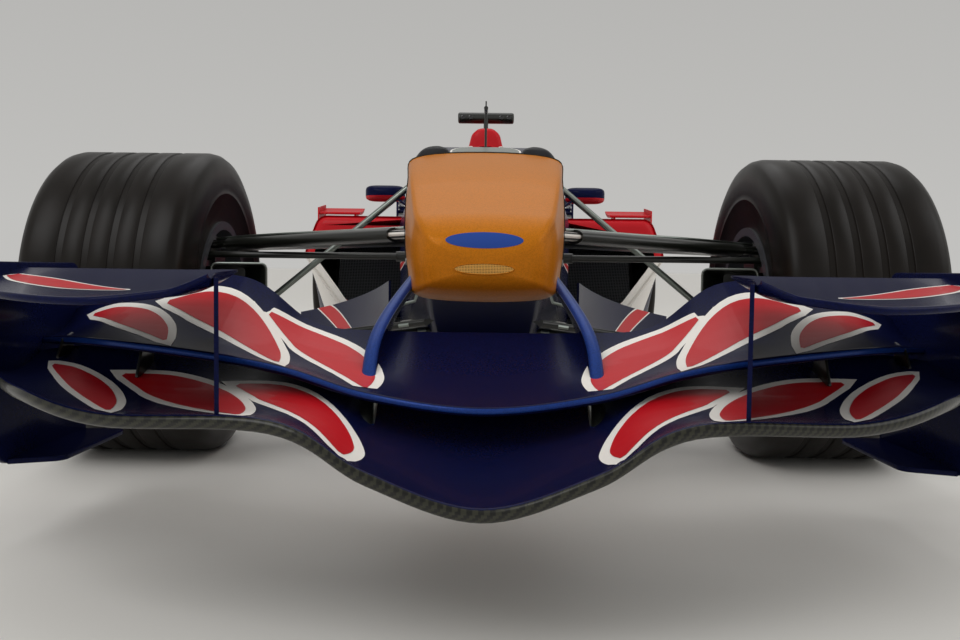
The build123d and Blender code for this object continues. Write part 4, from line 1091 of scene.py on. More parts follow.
class DRESS_OT_pylons(bpy.types.Operator):
    """Bowed wing pylons with bare metal cuffs, their leading edges painted bright blue as a painted highlight
    """

    bl_idname = "racing_car.pylons"
    bl_label = "Wing pylons"

    def execute(self, context):
        rings = []
        for height, x, lead, chord in eased(PYLON_STATIONS, 16):
            half = PYLON_THICKNESS / 2
            ring = []
            for step in range(9):
                angle = math.pi * (step / 8 - 0.5)
                ring.append((x + half * math.sin(angle), lead + half - half * math.cos(angle)))
            for share in (0.25, 0.5, 0.75, 1):
                ring.append((x + half + (1 - half) * share**1.5, lead + half + (chord - half) * share))
            ring += [(2 * x - across, along) for across, along in reversed(ring[9:])]
            rings.append([(across * MM, along * MM, height * MM) for across, along in ring])
        form = loft(rings)
        columns = len(rings[0])
        zones = []
        for number in range(len(form[1])):
            height = rings[min(number // columns, len(rings) - 1)][0][2] / MM
            if CUFF_HEIGHTS[0] < height < CUFF_HEIGHTS[1]:
                zones.append(2)
            else:
                # Leading-edge columns take the brighter blue, a painted highlight
                zones.append(1 if number % columns < 8 else 0)
        piece(
            "pylon_skins",
            both(form),
            ("body_paint", "edge_blue", "satin_silver"),
            stands_for=["front_wing_pylons"],
            zones=[*zones, *zones],
        )
        return {"FINISHED"}


# Nose sections, with a rounder tip than the solid: station, (x, z) of top edge, shoulder, low side, bottom
NOSE_SECTIONS = [
    (NOSE_TIP - 14, (8, 422), (12, 419), (12, 415), (8, 412)),
    (NOSE_TIP - 11, (36, 436), (50, 427), (50, 407), (38, 399)),
    (NOSE_TIP - 4, (54, 452), (76, 438), (77, 402), (58, 388)),
    (NOSE_TIP + 10, (66, 467), (90, 449), (92, 400), (70, 379)),
    (NOSE_TIP + 40, (77, 487), (103, 465), (105, 401), (81, 370)),
    (NOSE_TIP + 90, (86, 507), (113, 482), (114, 402), (88, 365)),
    (NOSE_TIP + 260, (104, 573), (131, 540), (132, 410), (100, 364)),
    (FRONT_BULKHEAD, (118, 630), (150, 575), (150, 420), (112, 372)),
]
NOSE_CURVE_STEPS = 8
# Oval and mesh inlet on the nose, in pixels of the photograph: across from the car's middle, down,
# half width, half height
NOSE_OVAL = (0, 240.5, 39, 8)
NOSE_INLET = (0, 269, 30, 5.5)
OVAL_STEPS = 48
OVAL_RINGS = 6
OVAL_LIFT = 0.0004
# Fasteners ahead of the joint: height, x of the nose's side there
NOSE_FASTENERS = [(560, 149.5), (480, 152), (425, 151)]


def nose_rings(table, steps):
    """Rings of the nose, with even curves round each section and from one to the next."""
    rings = []
    for row in eased([flat_row(row) for row in table], steps):
        loop = eased(whole_outline(points_of(row)), NOSE_CURVE_STEPS, True)
        rings.append([(x * MM, row[0] * MM, z * MM) for x, z in loop])
    return rings


def oval(across, down, half_width, half_height, surface):
    """Filled oval on a surface, seen from the eye, in pixels."""
    rings = []
    for number in range(OVAL_RINGS + 1):
        share = number / OVAL_RINGS
        ring = []
        for step in range(OVAL_STEPS):
            angle = math.tau * step / OVAL_STEPS
            start, way = from_eye(
                across + half_width * share * math.cos(angle), down + half_height * share * math.sin(angle)
            )
            hit, normal, _, _ = surface.ray_cast(start, way)
            ring.append(tuple(hit + normal * OVAL_LIFT * (1 if normal.dot(way) < 0 else -1)))
        rings.append(ring)
    return loft(rings, False)


class DRESS_OT_nose(bpy.types.Operator):
    """Smooth nose with its mesh inlet, a plain oval, the chassis joint and its fasteners"""

    bl_idname = "racing_car.nose"
    bl_label = "Nose"

    def execute(self, context):
        rings = nose_rings(NOSE_SECTIONS, 6)
        form = loft(rings)
        nose = piece("nose_skin", form, "nose_paint", stands_for=["nose_cone"], sharp=50)
        surface = surface_of(nose)
        piece("nose_oval", oval(*NOSE_OVAL, surface), "badge_blue")
        inlet = oval(*NOSE_INLET, surface)
        piece("nose_inlet_mesh", inlet, "nose_mesh")
        rim = closed_tube(line_round(inlet[0][-OVAL_STEPS:]), 0.8, 8)
        piece("nose_inlet_rim", rim, "nose_paint")
        piece("nose_joint", closed_tube(line_round(rings[-1], -1), 1.6), "dark_hollow")
        places = [(side_x - 1, FRONT_BULKHEAD - 18, height) for height, side_x in NOSE_FASTENERS]
        metal_heads("nose_fasteners", [knob(place, (1, 0, 0), 7, 2, 20) for place in places])
        return {"FINISHED"}


# Survival cell, as in the source: station, (x, z) of the top edge, shoulder, lower side and bottom edge
CELL_SECTIONS = [
    (FRONT_BULKHEAD, (118, 630), (150, 575), (150, 420), (112, 372)),
    (FRONT_AXLE, (125, 682), (164, 606), (164, 380), (120, 305)),
    (FRONT_AXLE + 400, (150, 698), (198, 615), (198, 300), (120, 200)),
    (COCKPIT_FRONT, (190, 690), (250, 590), (250, 190), (150, 80)),
    (COCKPIT_FRONT + 350, (252, 640), (292, 560), (286, 150), (220, 40)),
    (COCKPIT_REAR, (250, 668), (300, 570), (290, 120), (240, 40)),
    (ENGINE_FRONT, (205, 610), (280, 520), (280, 120), (240, 40)),
]
CELL_RADIUS = 26
FLOOR_TOP = 53
ROOM_FRONT = COCKPIT_FRONT + 10
ROOM_REAR = COCKPIT_REAR - 20
# Cockpit room: height, then (x, y) of its left half from front to rear
ROOM_LEVELS = [
    (900, [(120, ROOM_FRONT), (205, ROOM_FRONT + 320), (205, ROOM_REAR - 60), (150, ROOM_REAR)]),
    (640, [(120, ROOM_FRONT), (205, ROOM_FRONT + 320), (205, ROOM_REAR - 60), (150, ROOM_REAR)]),
    (110, [(110, ROOM_FRONT), (185, ROOM_FRONT + 320), (185, ROOM_REAR - 200), (130, ROOM_REAR - 130)]),
]
TUNNEL_ENDS = [
    (FRONT_AXLE + 120, [(100, 560), (100, 380)]),
    (COCKPIT_FRONT + 80, [(150, 500), (150, 190)]),
]
# Panel on the chassis top and the line along its side: (x, y) or (y, z), and half width
PANEL_SPINE = [(0, FRONT_BULKHEAD + 5, 62), (0, FRONT_BULKHEAD + 120, 66), (0, FRONT_BULKHEAD + 250, 30)]
CHASSIS_SWEEP = [(FRONT_BULKHEAD + 20, 480, 3), (-900, 470, 5), (-400, 430, 8), (100, 400, 10), (380, 385, 5)]
# Space under the floor's top, which is cut away: (x, y) corners
UNDER_FLOOR = [(-400, -1500), (400, -1500), (400, 900), (-400, 900)]
CHASSIS_SCREWS = 9


class DRESS_OT_chassis(bpy.types.Operator):
    """Smooth survival cell with its cockpit, top panel, sweeps and screws"""

    bl_idname = "racing_car.chassis"
    bl_label = "Chassis"

    def execute(self, context):
        rings = body_rings(CELL_SECTIONS, 8, CELL_RADIUS)
        cell = piece("chassis_skin", loft(rings), "body_paint", stands_for=["survival_cell"])
        room = []
        for height, half in ROOM_LEVELS:
            room.append([at((p.x, p.y, height)) for p in outline(whole_outline(half), 38)])
        tunnel = [ring_points(half, y, 30) for y, half in TUNNEL_ENDS]
        below = slab(UNDER_FLOOR, 1, -100, FLOOR_TOP, square_to_z, 0.1)
        for hollow in (loft(room), loft(tunnel), below):
            carve(cell, hollow, "satin_carbon")
        surface = surface_of(cell)
        lift = context.scene.racing_car_paint.lift
        piece("top_panel_edge", band(PANEL_SPINE, from_above, surface, lift, 4), "white_paint")
        panel = band(PANEL_SPINE, from_above, surface, lift * 2)
        piece("top_panel", panel, "satin_silver")
        sweeps("chassis_sweeps", [CHASSIS_SWEEP], from_left, [surface], 4)
        screws = []
        for number in range(CHASSIS_SCREWS):
            ray = from_above(96 + number * 5, FRONT_BULKHEAD + 60 + number * 110)
            screws.append(screw_at(surface, ray, 4.5))
        metal_heads("chassis_screws", screws)
        return {"FINISHED"}


# Front pads, as in the source: station, then (x, z) round each from its inner top
PAD_SECTIONS = [
    (FRONT_BULKHEAD + 8, (70, 646), (122, 644), (150, 590), (138, 572), (70, 606)),
    (FRONT_BULKHEAD + 66, (72, 656), (126, 654), (156, 598), (142, 578), (72, 614)),
    (FRONT_BULKHEAD + 124, (74, 663), (128, 661), (161, 608), (148, 582), (74, 622)),
]
HEADREST_LOW = 594
HEADREST_HIGH = 660
HEADREST_ARM = [(126, ROOM_REAR - 326), (168, ROOM_REAR - 330), (201, ROOM_REAR - 290), (201, ROOM_REAR - 62)]
HEADREST_BACK = [(200, ROOM_REAR - 66), (160, ROOM_REAR - 4), (-160, ROOM_REAR - 4), (-200, ROOM_REAR - 66)]
# Piping round the head opening, from its left front to the middle at the back
HEADREST_PIPING = [
    (134, ROOM_REAR - 310, 652),
    (132, ROOM_REAR - 200, 654),
    (132, ROOM_REAR - 92, 654),
    (112, ROOM_REAR - 78, 654),
    (0, ROOM_REAR - 74, 654),
]


class DRESS_OT_pads(bpy.types.Operator):
    """Covered foam pads on the chassis top and round the driver's head"""

    bl_idname = "racing_car.pads"
    bl_label = "Pads"

    def execute(self, context):
        front = loft(body_rings(PAD_SECTIONS, 3, 14, False))
        pads = piece("front_pad_covers", both(front), "padding", stands_for=["front_pads"])
        arm = slab([*HEADREST_ARM, (126, ROOM_REAR - 62)], 24, HEADREST_LOW, HEADREST_HIGH, square_to_z, 14)
        back = [*HEADREST_BACK, (-124, ROOM_REAR - 74), (124, ROOM_REAR - 74)]
        rest = together(both(arm), slab(back, 20, HEADREST_LOW, HEADREST_HIGH, square_to_z, 14))
        headrest = piece("headrest_cover", rest, "padding", stands_for=["headrest"])
        swell([pads, headrest], 0.8, context.scene.racing_car_soft)
        seams = []
        for side, _ in SIDES:
            path = [(side * x, *place) for x, *place in HEADREST_PIPING]
            seams.append(tube(path, 1.4, 6))
        piece("headrest_piping", together(*seams), "wheel_grip")
        return {"FINISHED"}


# Steering wheel, as in the source: its face leans back by the column's tilt
WHEEL_MIDDLE = (0, COCKPIT_FRONT + 190, 600)
COLUMN_TILT = 12
# Belts over the empty seat, from their far end to the buckle
SHOULDER_BELT = [
    (66, 302, 566),
    (66, 262, 569),
    (64, 243, 552),
    (58, 200, 402),
    (46, 168, 292),
    (30, 138, 190),
    (14, 104, 180),
    (6, 74, 178),
]
LAP_BELT = [(134, 136, 236), (122, 118, 204), (80, 92, 184), (28, 72, 181)]
CROTCH_BELT = [(0, -60, 162), (0, 0, 168), (0, 50, 176)]
# Knobs on the wheel's face: across, down, radius, finish
WHEEL_KNOBS = [
    (60, -52, 7, "lamp_red"),
    (-60, -52, 7, "badge_blue"),
    (74, 28, 8, "white_paint"),
    (-74, 28, 8, "bronze_metal"),
    (44, 52, 9, "blue_metal"),
    (-44, 52, 9, "bronze_metal"),
    (0, 54, 6, "lamp_red"),
]
DISPLAY_CORNERS = [(-44, -34), (44, -34), (44, 6), (-44, 6)]
# Left half of the low screen round the cockpit's front, from the middle outwards
SCREEN_HALF = [
    (0, ROOM_FRONT - 22, 697),
    (60, ROOM_FRONT - 18, 696),
    (110, ROOM_FRONT + 10, 692),
    (150, ROOM_FRONT + 100, 680),
]
BELT_THICKNESS = 2.5


def on_wheel(across, down, out):
    """Point on the steering wheel's face, in millimetres."""
    tilt = math.radians(COLUMN_TILT)
    return (
        WHEEL_MIDDLE[0] + across,
        WHEEL_MIDDLE[1] + down * math.sin(tilt) + out * math.cos(tilt),
        WHEEL_MIDDLE[2] - down * math.cos(tilt) + out * math.sin(tilt),
    )


class DRESS_OT_cockpit(bpy.types.Operator):
    """Harness, steering wheel fittings and the low screen"""

    bl_idname = "racing_car.cockpit"
    bl_label = "Cockpit"

    def execute(self, context):
        width = context.scene.racing_car_soft.belt / MM
        belts = [
            both(strap(eased(SHOULDER_BELT, 4), (1, 0, 0), width, BELT_THICKNESS)),
            both(strap(eased(LAP_BELT, 4), (0, 0.8, 0.6), width, BELT_THICKNESS)),
            strap(eased(CROTCH_BELT, 4), (1, 0, 0), width, BELT_THICKNESS),
        ]
        piece("harness", together(*belts), "belt_webbing", sharp=60)
        buckle = knob((0, 66, 180), (0, -0.1, 1), 30, 12, 28)
        piece("harness_buckle", buckle, "machined_metal")
        grip = [on_wheel(122, down, 0) for down in (-34, -20, 0, 20, 40, 60)]
        piece("wheel_grips", both(tube(grip, 16.5, 16)), "wheel_grip", "steering_wheel")
        out = Vector(on_wheel(0, 0, 1)) - Vector(on_wheel(0, 0, 0))
        for number, (across, down, radius, finish) in enumerate(WHEEL_KNOBS):
            form = knob(on_wheel(across, down, 14), out, radius, 7, 18)
            piece(f"wheel_knob_{number + 1}", form, finish, "steering_wheel")
        screen = slab(DISPLAY_CORNERS, 6, 13.5, 17, on_wheel)
        piece("wheel_display", screen, "screen_glass", "steering_wheel")
        lip = eased([*[(-x, y, z) for x, y, z in reversed(SCREEN_HALF[1:])], *SCREEN_HALF], 5)
        piece("screen_lip", strap(lip, (0, 0.45, 0.9), 34, 3), "screen_glass", sharp=60)
        return {"FINISHED"}


MIRROR_MIDDLE = (337, 664)
MIRROR_STATION = COCKPIT_FRONT + 290
# Mirror shell: distance ahead of its face, share of full size
MIRROR_RINGS = [
    (4.6, 0.86),
    (0, 0.88),
    (-0.2, 0.97),
    (2, 1),
    (20, 1),
    (38, 0.93),
    (52, 0.74),
    (60, 0.45),
    (63, 0.15),
]
MIRROR_HALF = (66, 27)
MIRROR_SIDES = 64
# How square the shell's outline is: 2 is an ellipse
MIRROR_SQUARENESS = 4.5
# Where red takes over from navy, below the middle, as a share of the half height
MIRROR_RED = 0.35
MIRROR_STAY = ((232, MIRROR_STATION - 34, 602), (304, MIRROR_STATION - 34, 652))


class DRESS_OT_mirrors(bpy.types.Operator):
    """Rounded mirror shells, navy above and red below, on slim stays"""

    bl_idname = "racing_car.mirrors"
    bl_label = "Mirrors"

    def execute(self, context):
        rings = []
        for ahead, share in MIRROR_RINGS:
            ring = []
            for step in range(MIRROR_SIDES):
                angle = math.tau * (step + 0.5) / MIRROR_SIDES
                wide, high = math.cos(angle), math.sin(angle)
                power = abs(wide) ** MIRROR_SQUARENESS + abs(high) ** MIRROR_SQUARENESS
                reach = power ** (-1 / MIRROR_SQUARENESS)
                ring.append(
                    (
                        (MIRROR_MIDDLE[0] + MIRROR_HALF[0] * share * reach * wide) * MM,
                        (MIRROR_STATION - ahead) * MM,
                        (MIRROR_MIDDLE[1] + MIRROR_HALF[1] * share * reach * high) * MM,
                    )
                )
            rings.append(ring)
        low = (MIRROR_MIDDLE[1] - MIRROR_HALF[1] * MIRROR_RED) * MM
        form = cut_level(loft(rings), low)
        zones = []
        for face in form[1]:
            middle = sum(form[0][corner][2] for corner in face) / len(face)
            zones.append(1 if middle < low else 0)
        stay = strut(*MIRROR_STAY, 28, 9)
        zones += [0] * len(stay[1])
        piece(
            "mirror_shells",
            both(together(form, stay)),
            ("body_paint", "red_paint"),
            stands_for=["mirror_pods"],
            zones=[*zones, *zones],
        )
        return {"FINISHED"}


UPPER_BALL = (612, 0, 458)
FRONT_UPPER_ENDS = [(130, -255, 480), (150, 290, 484)]
LOWER_BALL = (638, 0, 222)
FRONT_LOWER_ENDS = [(110, -215, 305), (130, 330, 255)]
REAR_UPPER_BALL = (575, 0, 432)
REAR_UPPER_ENDS = [(60, -330, 372), (40, 150, 350)]
REAR_LOWER_BALL = (588, 0, 212)
REAR_LOWER_ENDS = [(60, -300, 168), (40, 150, 225)]
# Sleeves on the wishbones: axle, ball, inner ends, share of the arm from, to, finish
SLEEVES = [
    (FRONT_AXLE, UPPER_BALL, FRONT_UPPER_ENDS, 0.03, 0.11, "white_paint"),
    (FRONT_AXLE, LOWER_BALL, FRONT_LOWER_ENDS, 0.06, 0.1, "satin_silver"),
    (FRONT_AXLE, UPPER_BALL, FRONT_UPPER_ENDS, 0.86, 0.93, "satin_silver"),
    (FRONT_AXLE, LOWER_BALL, FRONT_LOWER_ENDS, 0.87, 0.93, "satin_silver"),
    (REAR_AXLE, REAR_UPPER_BALL, REAR_UPPER_ENDS, 0.88, 0.94, "satin_silver"),
    (REAR_AXLE, REAR_LOWER_BALL, REAR_LOWER_ENDS, 0.88, 0.94, "satin_silver"),
]
# Fairings round the upper legs: axle, ball, inner end, share of the leg from, to
FAIRINGS = [
    (FRONT_AXLE, UPPER_BALL, FRONT_UPPER_ENDS[0], 0.1, 0.88),
    (FRONT_AXLE, UPPER_BALL, FRONT_UPPER_ENDS[1], 0.08, 0.88),
]
# Thin stay under the chassis side
CHASSIS_STAY = [
    (120, FRONT_AXLE - 213, 384),
    (131, FRONT_AXLE - 215, 372),
    (139, FRONT_AXLE - 217, 346),
    (162, FRONT_AXLE - 217, 340),
]
DUCT_MOUTH = [(440, 342), (552, 342), (552, 418), (440, 418)]
DUCT_STATION = FRONT_AXLE - 205
# Brake pipes of the left side, along an upper arm from the body to the upright
BRAKE_PIPES = [
    [
        (160, FRONT_AXLE - 232, 492),
        (300, FRONT_AXLE - 170, 486),
        (460, FRONT_AXLE - 92, 480),
        (592, FRONT_AXLE - 26, 472),
    ],
    [
        (90, REAR_AXLE - 300, 384),
        (260, REAR_AXLE - 212, 408),
        (440, REAR_AXLE - 110, 430),
        (556, REAR_AXLE - 34, 446),
    ],
]
# Ball joint caps: axle, ball, and whether they stand on it or hang below it
BALL_CAPS = [
    (FRONT_AXLE, UPPER_BALL, 1),
    (REAR_AXLE, REAR_UPPER_BALL, 1),
    (FRONT_AXLE, LOWER_BALL, -1),
    (REAR_AXLE, REAR_LOWER_BALL, -1),
]


def over_leg(axle, ball, inner, start, end, chord, thickness, sides=20):
    """Streamlined sleeve over a share of a suspension leg, from its inner end to its ball."""
    low = Vector((inner[0], inner[1] + axle, inner[2]))
    way = Vector((ball[0], ball[1] + axle, ball[2])) - low
    return strut(low + way * start, low + way * end, chord, thickness, sides)


class DRESS_OT_suspension(bpy.types.Operator):
    """Sleeves and fairings of the arms, ball joint caps, brake pipes, chassis stays and duct lips"""

    bl_idname = "racing_car.suspension"
    bl_label = "Suspension"

    def execute(self, context):
        by_finish = {}
        for axle, ball, ends, start, end, finish in SLEEVES:
            sleeves = [over_leg(axle, ball, inner, start, end, 49, 18) for inner in ends]
            by_finish.setdefault(finish, []).extend(sleeves)
        for finish, forms in by_finish.items():
            piece(f"arm_sleeves_{finish}", both(*forms), finish)
        caps = []
        for axle, ball, way in BALL_CAPS:
            caps.append(knob((ball[0], axle, ball[2] + 13 * way), (0, 0, way), 13, 9, 6))
        metal_heads("ball_joint_caps", caps)
        pipes = [tube(eased(path, 6), 3, 8) for path in BRAKE_PIPES]
        piece("brake_pipes", both(*pipes), "satin_silver")
        piece("chassis_stays", both(tube(CHASSIS_STAY, 3.5)), "satin_silver")
        fairings = [over_leg(*row, 64, 29, 32) for row in FAIRINGS]
        piece("arm_fairings", both(*fairings), "satin_carbon")
        for side, word in SIDES:
            mouth = [(side * p.x, DUCT_STATION, p.y) for p in outline(DUCT_MOUTH, 13)]
            lip = closed_tube(mouth, 1.8, 8)
            piece(f"duct_lip_{word}", lip, "satin_silver", f"front_upright_{word}")
        return {"FINISHED"}


GROOVES = 4
GROOVE_PITCH = 50
GROOVE_WIDTH = 14
GROOVE_DEPTH = 3
TYRE_RADIUS = 330
FLANGE_RADIUS = 181
BEAD_RADIUS = 169
RIM_INSET = 14
HUB_FACE = 56
# Wheels: end of the car, tyre width, x of the middle, axle
WHEELS = [
    ("front", 327, 736.5, FRONT_AXLE),
    ("rear", 367, 716.5, REAR_AXLE),
]
# Profiles turned about the axle: x outwards of the rim's seat or of the hub's face, radius
RIM_LIP = [(3, 181.6), (5.4, 181), (6, 178), (5.6, 165), (3, 163.4)]
HUB_NUT = [(-2, 10), (-2, 36), (6, 38), (14, 36), (34, 29), (38, 24), (38, 15), (30, 13), (24, 10)]
NUT_PINS = 6


def tyre_profile(width):
    """Closed profile of a grooved tyre: (x, radius), from the inner shoulder over the tread."""
    half = width / 2
    seat = half - RIM_INSET
    side = [
        (half - 34, TYRE_RADIUS),
        (half - 20, TYRE_RADIUS - 3.5),
        (half - 9, TYRE_RADIUS - 12),
        (half - 2, TYRE_RADIUS - 28),
        (half, TYRE_RADIUS - 50),
        (half - 0.5, TYRE_RADIUS - 75),
        (half - 1.2, TYRE_RADIUS - 84),
        (half - 0.4, TYRE_RADIUS - 86),
        (half - 0.4, TYRE_RADIUS - 88),
        (half - 1.8, TYRE_RADIUS - 90),
        (half - 8, TYRE_RADIUS - 125),
        (seat - 0.5, FLANGE_RADIUS + 3),
        (seat, FLANGE_RADIUS),
        (seat, BEAD_RADIUS),
    ]
    top = []
    for number in range(GROOVES):
        middle = (number - (GROOVES - 1) / 2) * GROOVE_PITCH
        for way in (-1, 1):
            edge = middle + way * GROOVE_WIDTH / 2
            top += [
                (edge + way * 1.2, TYRE_RADIUS),
                (edge, TYRE_RADIUS - 0.8),
                (edge - way, TYRE_RADIUS - GROOVE_DEPTH),
            ]
    top.sort()
    other = [(-x, radius) for x, radius in reversed(side)]
    return [(x * MM, radius * MM) for x, radius in [*top, *side, *other]]


def turned(profile, start, side, centre, steps):
    """Ring about a wheel's axle, of a profile outwards of a start."""
    return lathe([(side * (start + x) * MM, radius * MM) for x, radius in profile], centre, steps)


class DRESS_OT_wheels(bpy.types.Operator):
    """Grooved tyres with rounded shoulders, machined rim lips, hub nuts and valves"""

    bl_idname = "racing_car.wheels"
    bl_label = "Wheels"

    def execute(self, context):
        steps = context.scene.racing_car_tyre.steps
        for end, width, track, axle in WHEELS:
            seat = width / 2 - RIM_INSET
            face = width / 2 - HUB_FACE
            stem = [(seat + 1, axle + 112, AXLE_HEIGHT + 112), (seat + 11, axle + 108, AXLE_HEIGHT + 108)]
            valve = tube(stem, 4)
            for side, word in SIDES:
                centre = (side * track * MM, axle * MM, AXLE_HEIGHT * MM)
                body = f"{end}_wheel_{word}"
                tyre = lathe(tyre_profile(width), centre, steps)
                skin = f"{end}_tyre_skin_{word}"
                piece(skin, tyre, "tyre_rubber", body, [f"{end}_tyre_{word}"], sharp=50)
                ring = turned(RIM_LIP, seat, side, centre, 96)
                piece(f"{end}_rim_lip_{word}", ring, "satin_silver", body)
                nut = [turned(HUB_NUT, face, side, centre, 36)]
                for number in range(NUT_PINS):
                    angle = math.tau * number / NUT_PINS
                    out = (0, math.cos(angle), math.sin(angle))
                    pin = (side * (track + face + 12), axle + 37 * out[1], AXLE_HEIGHT + 37 * out[2])
                    nut.append(knob(pin, out, 5, 3))
                piece(f"{end}_hub_nut_{word}", together(*nut), "blue_metal", body)
                points = [(side * (x + track * MM), y, z) for x, y, z in valve[0]]
                piece(f"{end}_valve_{word}", (points, valve[1]), "machined_metal", body)
        return {"FINISHED"}


# Left sidepod: station, then (x, z) of the inner top, outer top, outer side, outer low, inner low, radius
SIDEPOD_SECTIONS = [
    (SIDEPOD_FRONT, (225, 602), (610, 604), (664, 460), (520, 262), (225, 262), 50),
    (SIDEPOD_FRONT + 330, (225, 600), (615, 592), (676, 430), (640, 100), (225, 100), 55),
    (SIDEPOD_FRONT + 760, (150, 556), (540, 540), (610, 370), (600, 100), (150, 100), 50),
    (SIDEPOD_REAR - 330, (90, 480), (350, 450), (420, 310), (420, 100), (90, 100), 40),
    (SIDEPOD_REAR, (60, 400), (170, 385), (215, 290), (215, 100), (60, 100), 25),
]
# Inlet duct, in the same columns
DUCT_SECTIONS = [
    (SIDEPOD_FRONT - 10, (225, 532), (594, 534), (628, 462), (508, 286), (225, 286), 36),
    (SIDEPOD_FRONT + 12, (225, 532), (594, 534), (628, 462), (508, 286), (225, 286), 36),
    (SIDEPOD_FRONT + 160, (225, 566), (592, 562), (640, 452), (560, 160), (225, 160), 45),
    (SIDEPOD_FRONT + 620, (225, 560), (560, 545), (620, 395), (600, 112), (225, 112), 45),
]
# Rounding of the inlet's lip: distance behind the front, inset
SIDEPOD_LIP = [(0, 34), (2, 22), (8, 11), (20, 3.5)]
# White part of the inlet's edge, partly white paint and partly a painted highlight where the rounded lip
# turns to the light: how many columns after the stripe, and how far back
LIP_COLUMNS = 8
LIP_LENGTH = 130
# Column of the white line between red and navy
SIDEPOD_STRIPE = 15
# Two lines across the top behind the inlet: distance of each behind the front
FRONT_LINES = (60, 84)
SIDEPOD_SWEEP = [(SIDEPOD_FRONT + 185, 236, 3), (460, 230, 18), (760, 250, 26), (1080, 300, 10)]
LOUVRES = 6
LOUVRE_PITCH = 46


def sidepod_rings(table, steps):
    """Rings round the left sidepod or its duct."""
    rings = []
    for row in eased([[*flat_row(row[:-1]), row[-1]] for row in table], steps):
        shape = outline(points_of(row[:-1]), [8, row[-1], row[-1], 20, 8])
        rings.append([at((p.x, row[0], p.y)) for p in shape])
    return rings


class DRESS_OT_sidepods(bpy.types.Operator):
    """Smooth sidepods, red above a white line and navy below, with open inlets and louvres"""

    bl_idname = "racing_car.sidepods"
    bl_label = "Sidepods"

    def execute(self, context):
        rings = sidepod_rings(SIDEPOD_SECTIONS, 16)
        front = []
        for behind, inset in SIDEPOD_LIP:
            shape = shrunk([Vector((p.x, p.z)) for p in rings[0]], inset * MM)
            front.append([Vector((p.x, rings[0][0].y + behind * MM, p.y)) for p in shape])
        rings = [*front, *rings[1:]]
        left = loft(rings)
        columns = len(rings[0])
        zones = []
        for number in range(len(left[1]) - 2):
            column = number % columns
            along = rings[number // columns][0].y / MM - SIDEPOD_FRONT
            if column < SIDEPOD_STRIPE:
                zones.append(0)
            else:
                # The outer lower lip near the front is white, partly a painted highlight on its rounding
                zones.append(2 if column < SIDEPOD_STRIPE + LIP_COLUMNS and along < LIP_LENGTH else 1)
        zones += [0, 1]
        hollow = loft(sidepod_rings(DUCT_SECTIONS, 4))
        for side, word in SIDES:
            skin = piece(
                f"sidepod_skin_{word}",
                on_side(left, side),
                ("red_paint", "body_paint", "white_paint"),
                stands_for=[f"sidepod_{word}"],
                zones=zones,
            )
            carve(skin, on_side(hollow, side), "satin_carbon")
        piece("sidepod_lines", both(tube(line_on(rings, SIDEPOD_STRIPE), 2, 8)), "white_paint")
        surface = surface_of(bpy.data.objects["sidepod_skin_left"])
        lines = []
        for behind in FRONT_LINES:
            along = SIDEPOD_FRONT + behind
            spine = [(330, along, 2.5), (520, along + 30, 2.5), (640, along + 70, 2.5)]
            lines.append(band(spine, from_above, surface, 0.0012, 0, 60, 4))
        piece("sidepod_front_lines", both(*lines), "white_paint")
        sweeps("sidepod_sweeps", [SIDEPOD_SWEEP], from_left, [surface], 5, thicker=2)
        blades = []
        for number in range(LOUVRES):
            along = SIDEPOD_FRONT + 560 + number * LOUVRE_PITCH
            height = surface.ray_cast(*from_above(420, along))[0].z / MM
            blades.append(strut((345, along, height - 1), (490 - number * 9, along + 8, height - 3), 40, 9))
        piece("sidepod_louvres", both(*blades), "red_paint")
        return {"FINISHED"}


# Engine cover: station, then (x, z) of the crown, dome, side, neck, shoulder and foot
COVER_SECTIONS = [
    (ROLL_HOOP, (28, 974), (56, 950), (68, 900), (70, 790), (150, 690), (205, 600)),
    (ENGINE_FRONT + 20, (24, 958), (52, 925), (72, 870), (88, 760), (180, 650), (250, 540)),
    (ENGINE_REAR - 180, (18, 872), (39, 842), (57, 790), (80, 680), (150, 570), (215, 450)),
    (COVER_REAR - 180, (14, 737), (28, 714), (43, 670), (60, 590), (110, 500), (155, 400)),
    (COVER_REAR, (14, 642), (24, 622), (35, 590), (46, 530), (80, 465), (115, 390)),
]
COVER_RADII = [40, 40, 40, 12, 12, 12, 12, 12, 12, 40, 40, 40]
# Columns of the white lines between red and navy, one on each side
COVER_STRIPES = (14, 57)
# Rounding of the cover's front: distance ahead of the roll hoop, inset
COVER_NOSE = [(18, 16), (15, 9), (8, 3)]
AIRBOX_MOUTH = [(20, 902), (40, 892), (50, 866), (50, 826), (26, 806)]
AIRBOX_THROAT = [(16, 880), (30, 872), (38, 856), (38, 834), (20, 820)]
COVER_SWEEP = [(ROLL_HOOP + 90, 720, 4), (760, 742, 22), (1080, 690, 24), (1400, 600, 8)]
COVER_SCREWS = 8


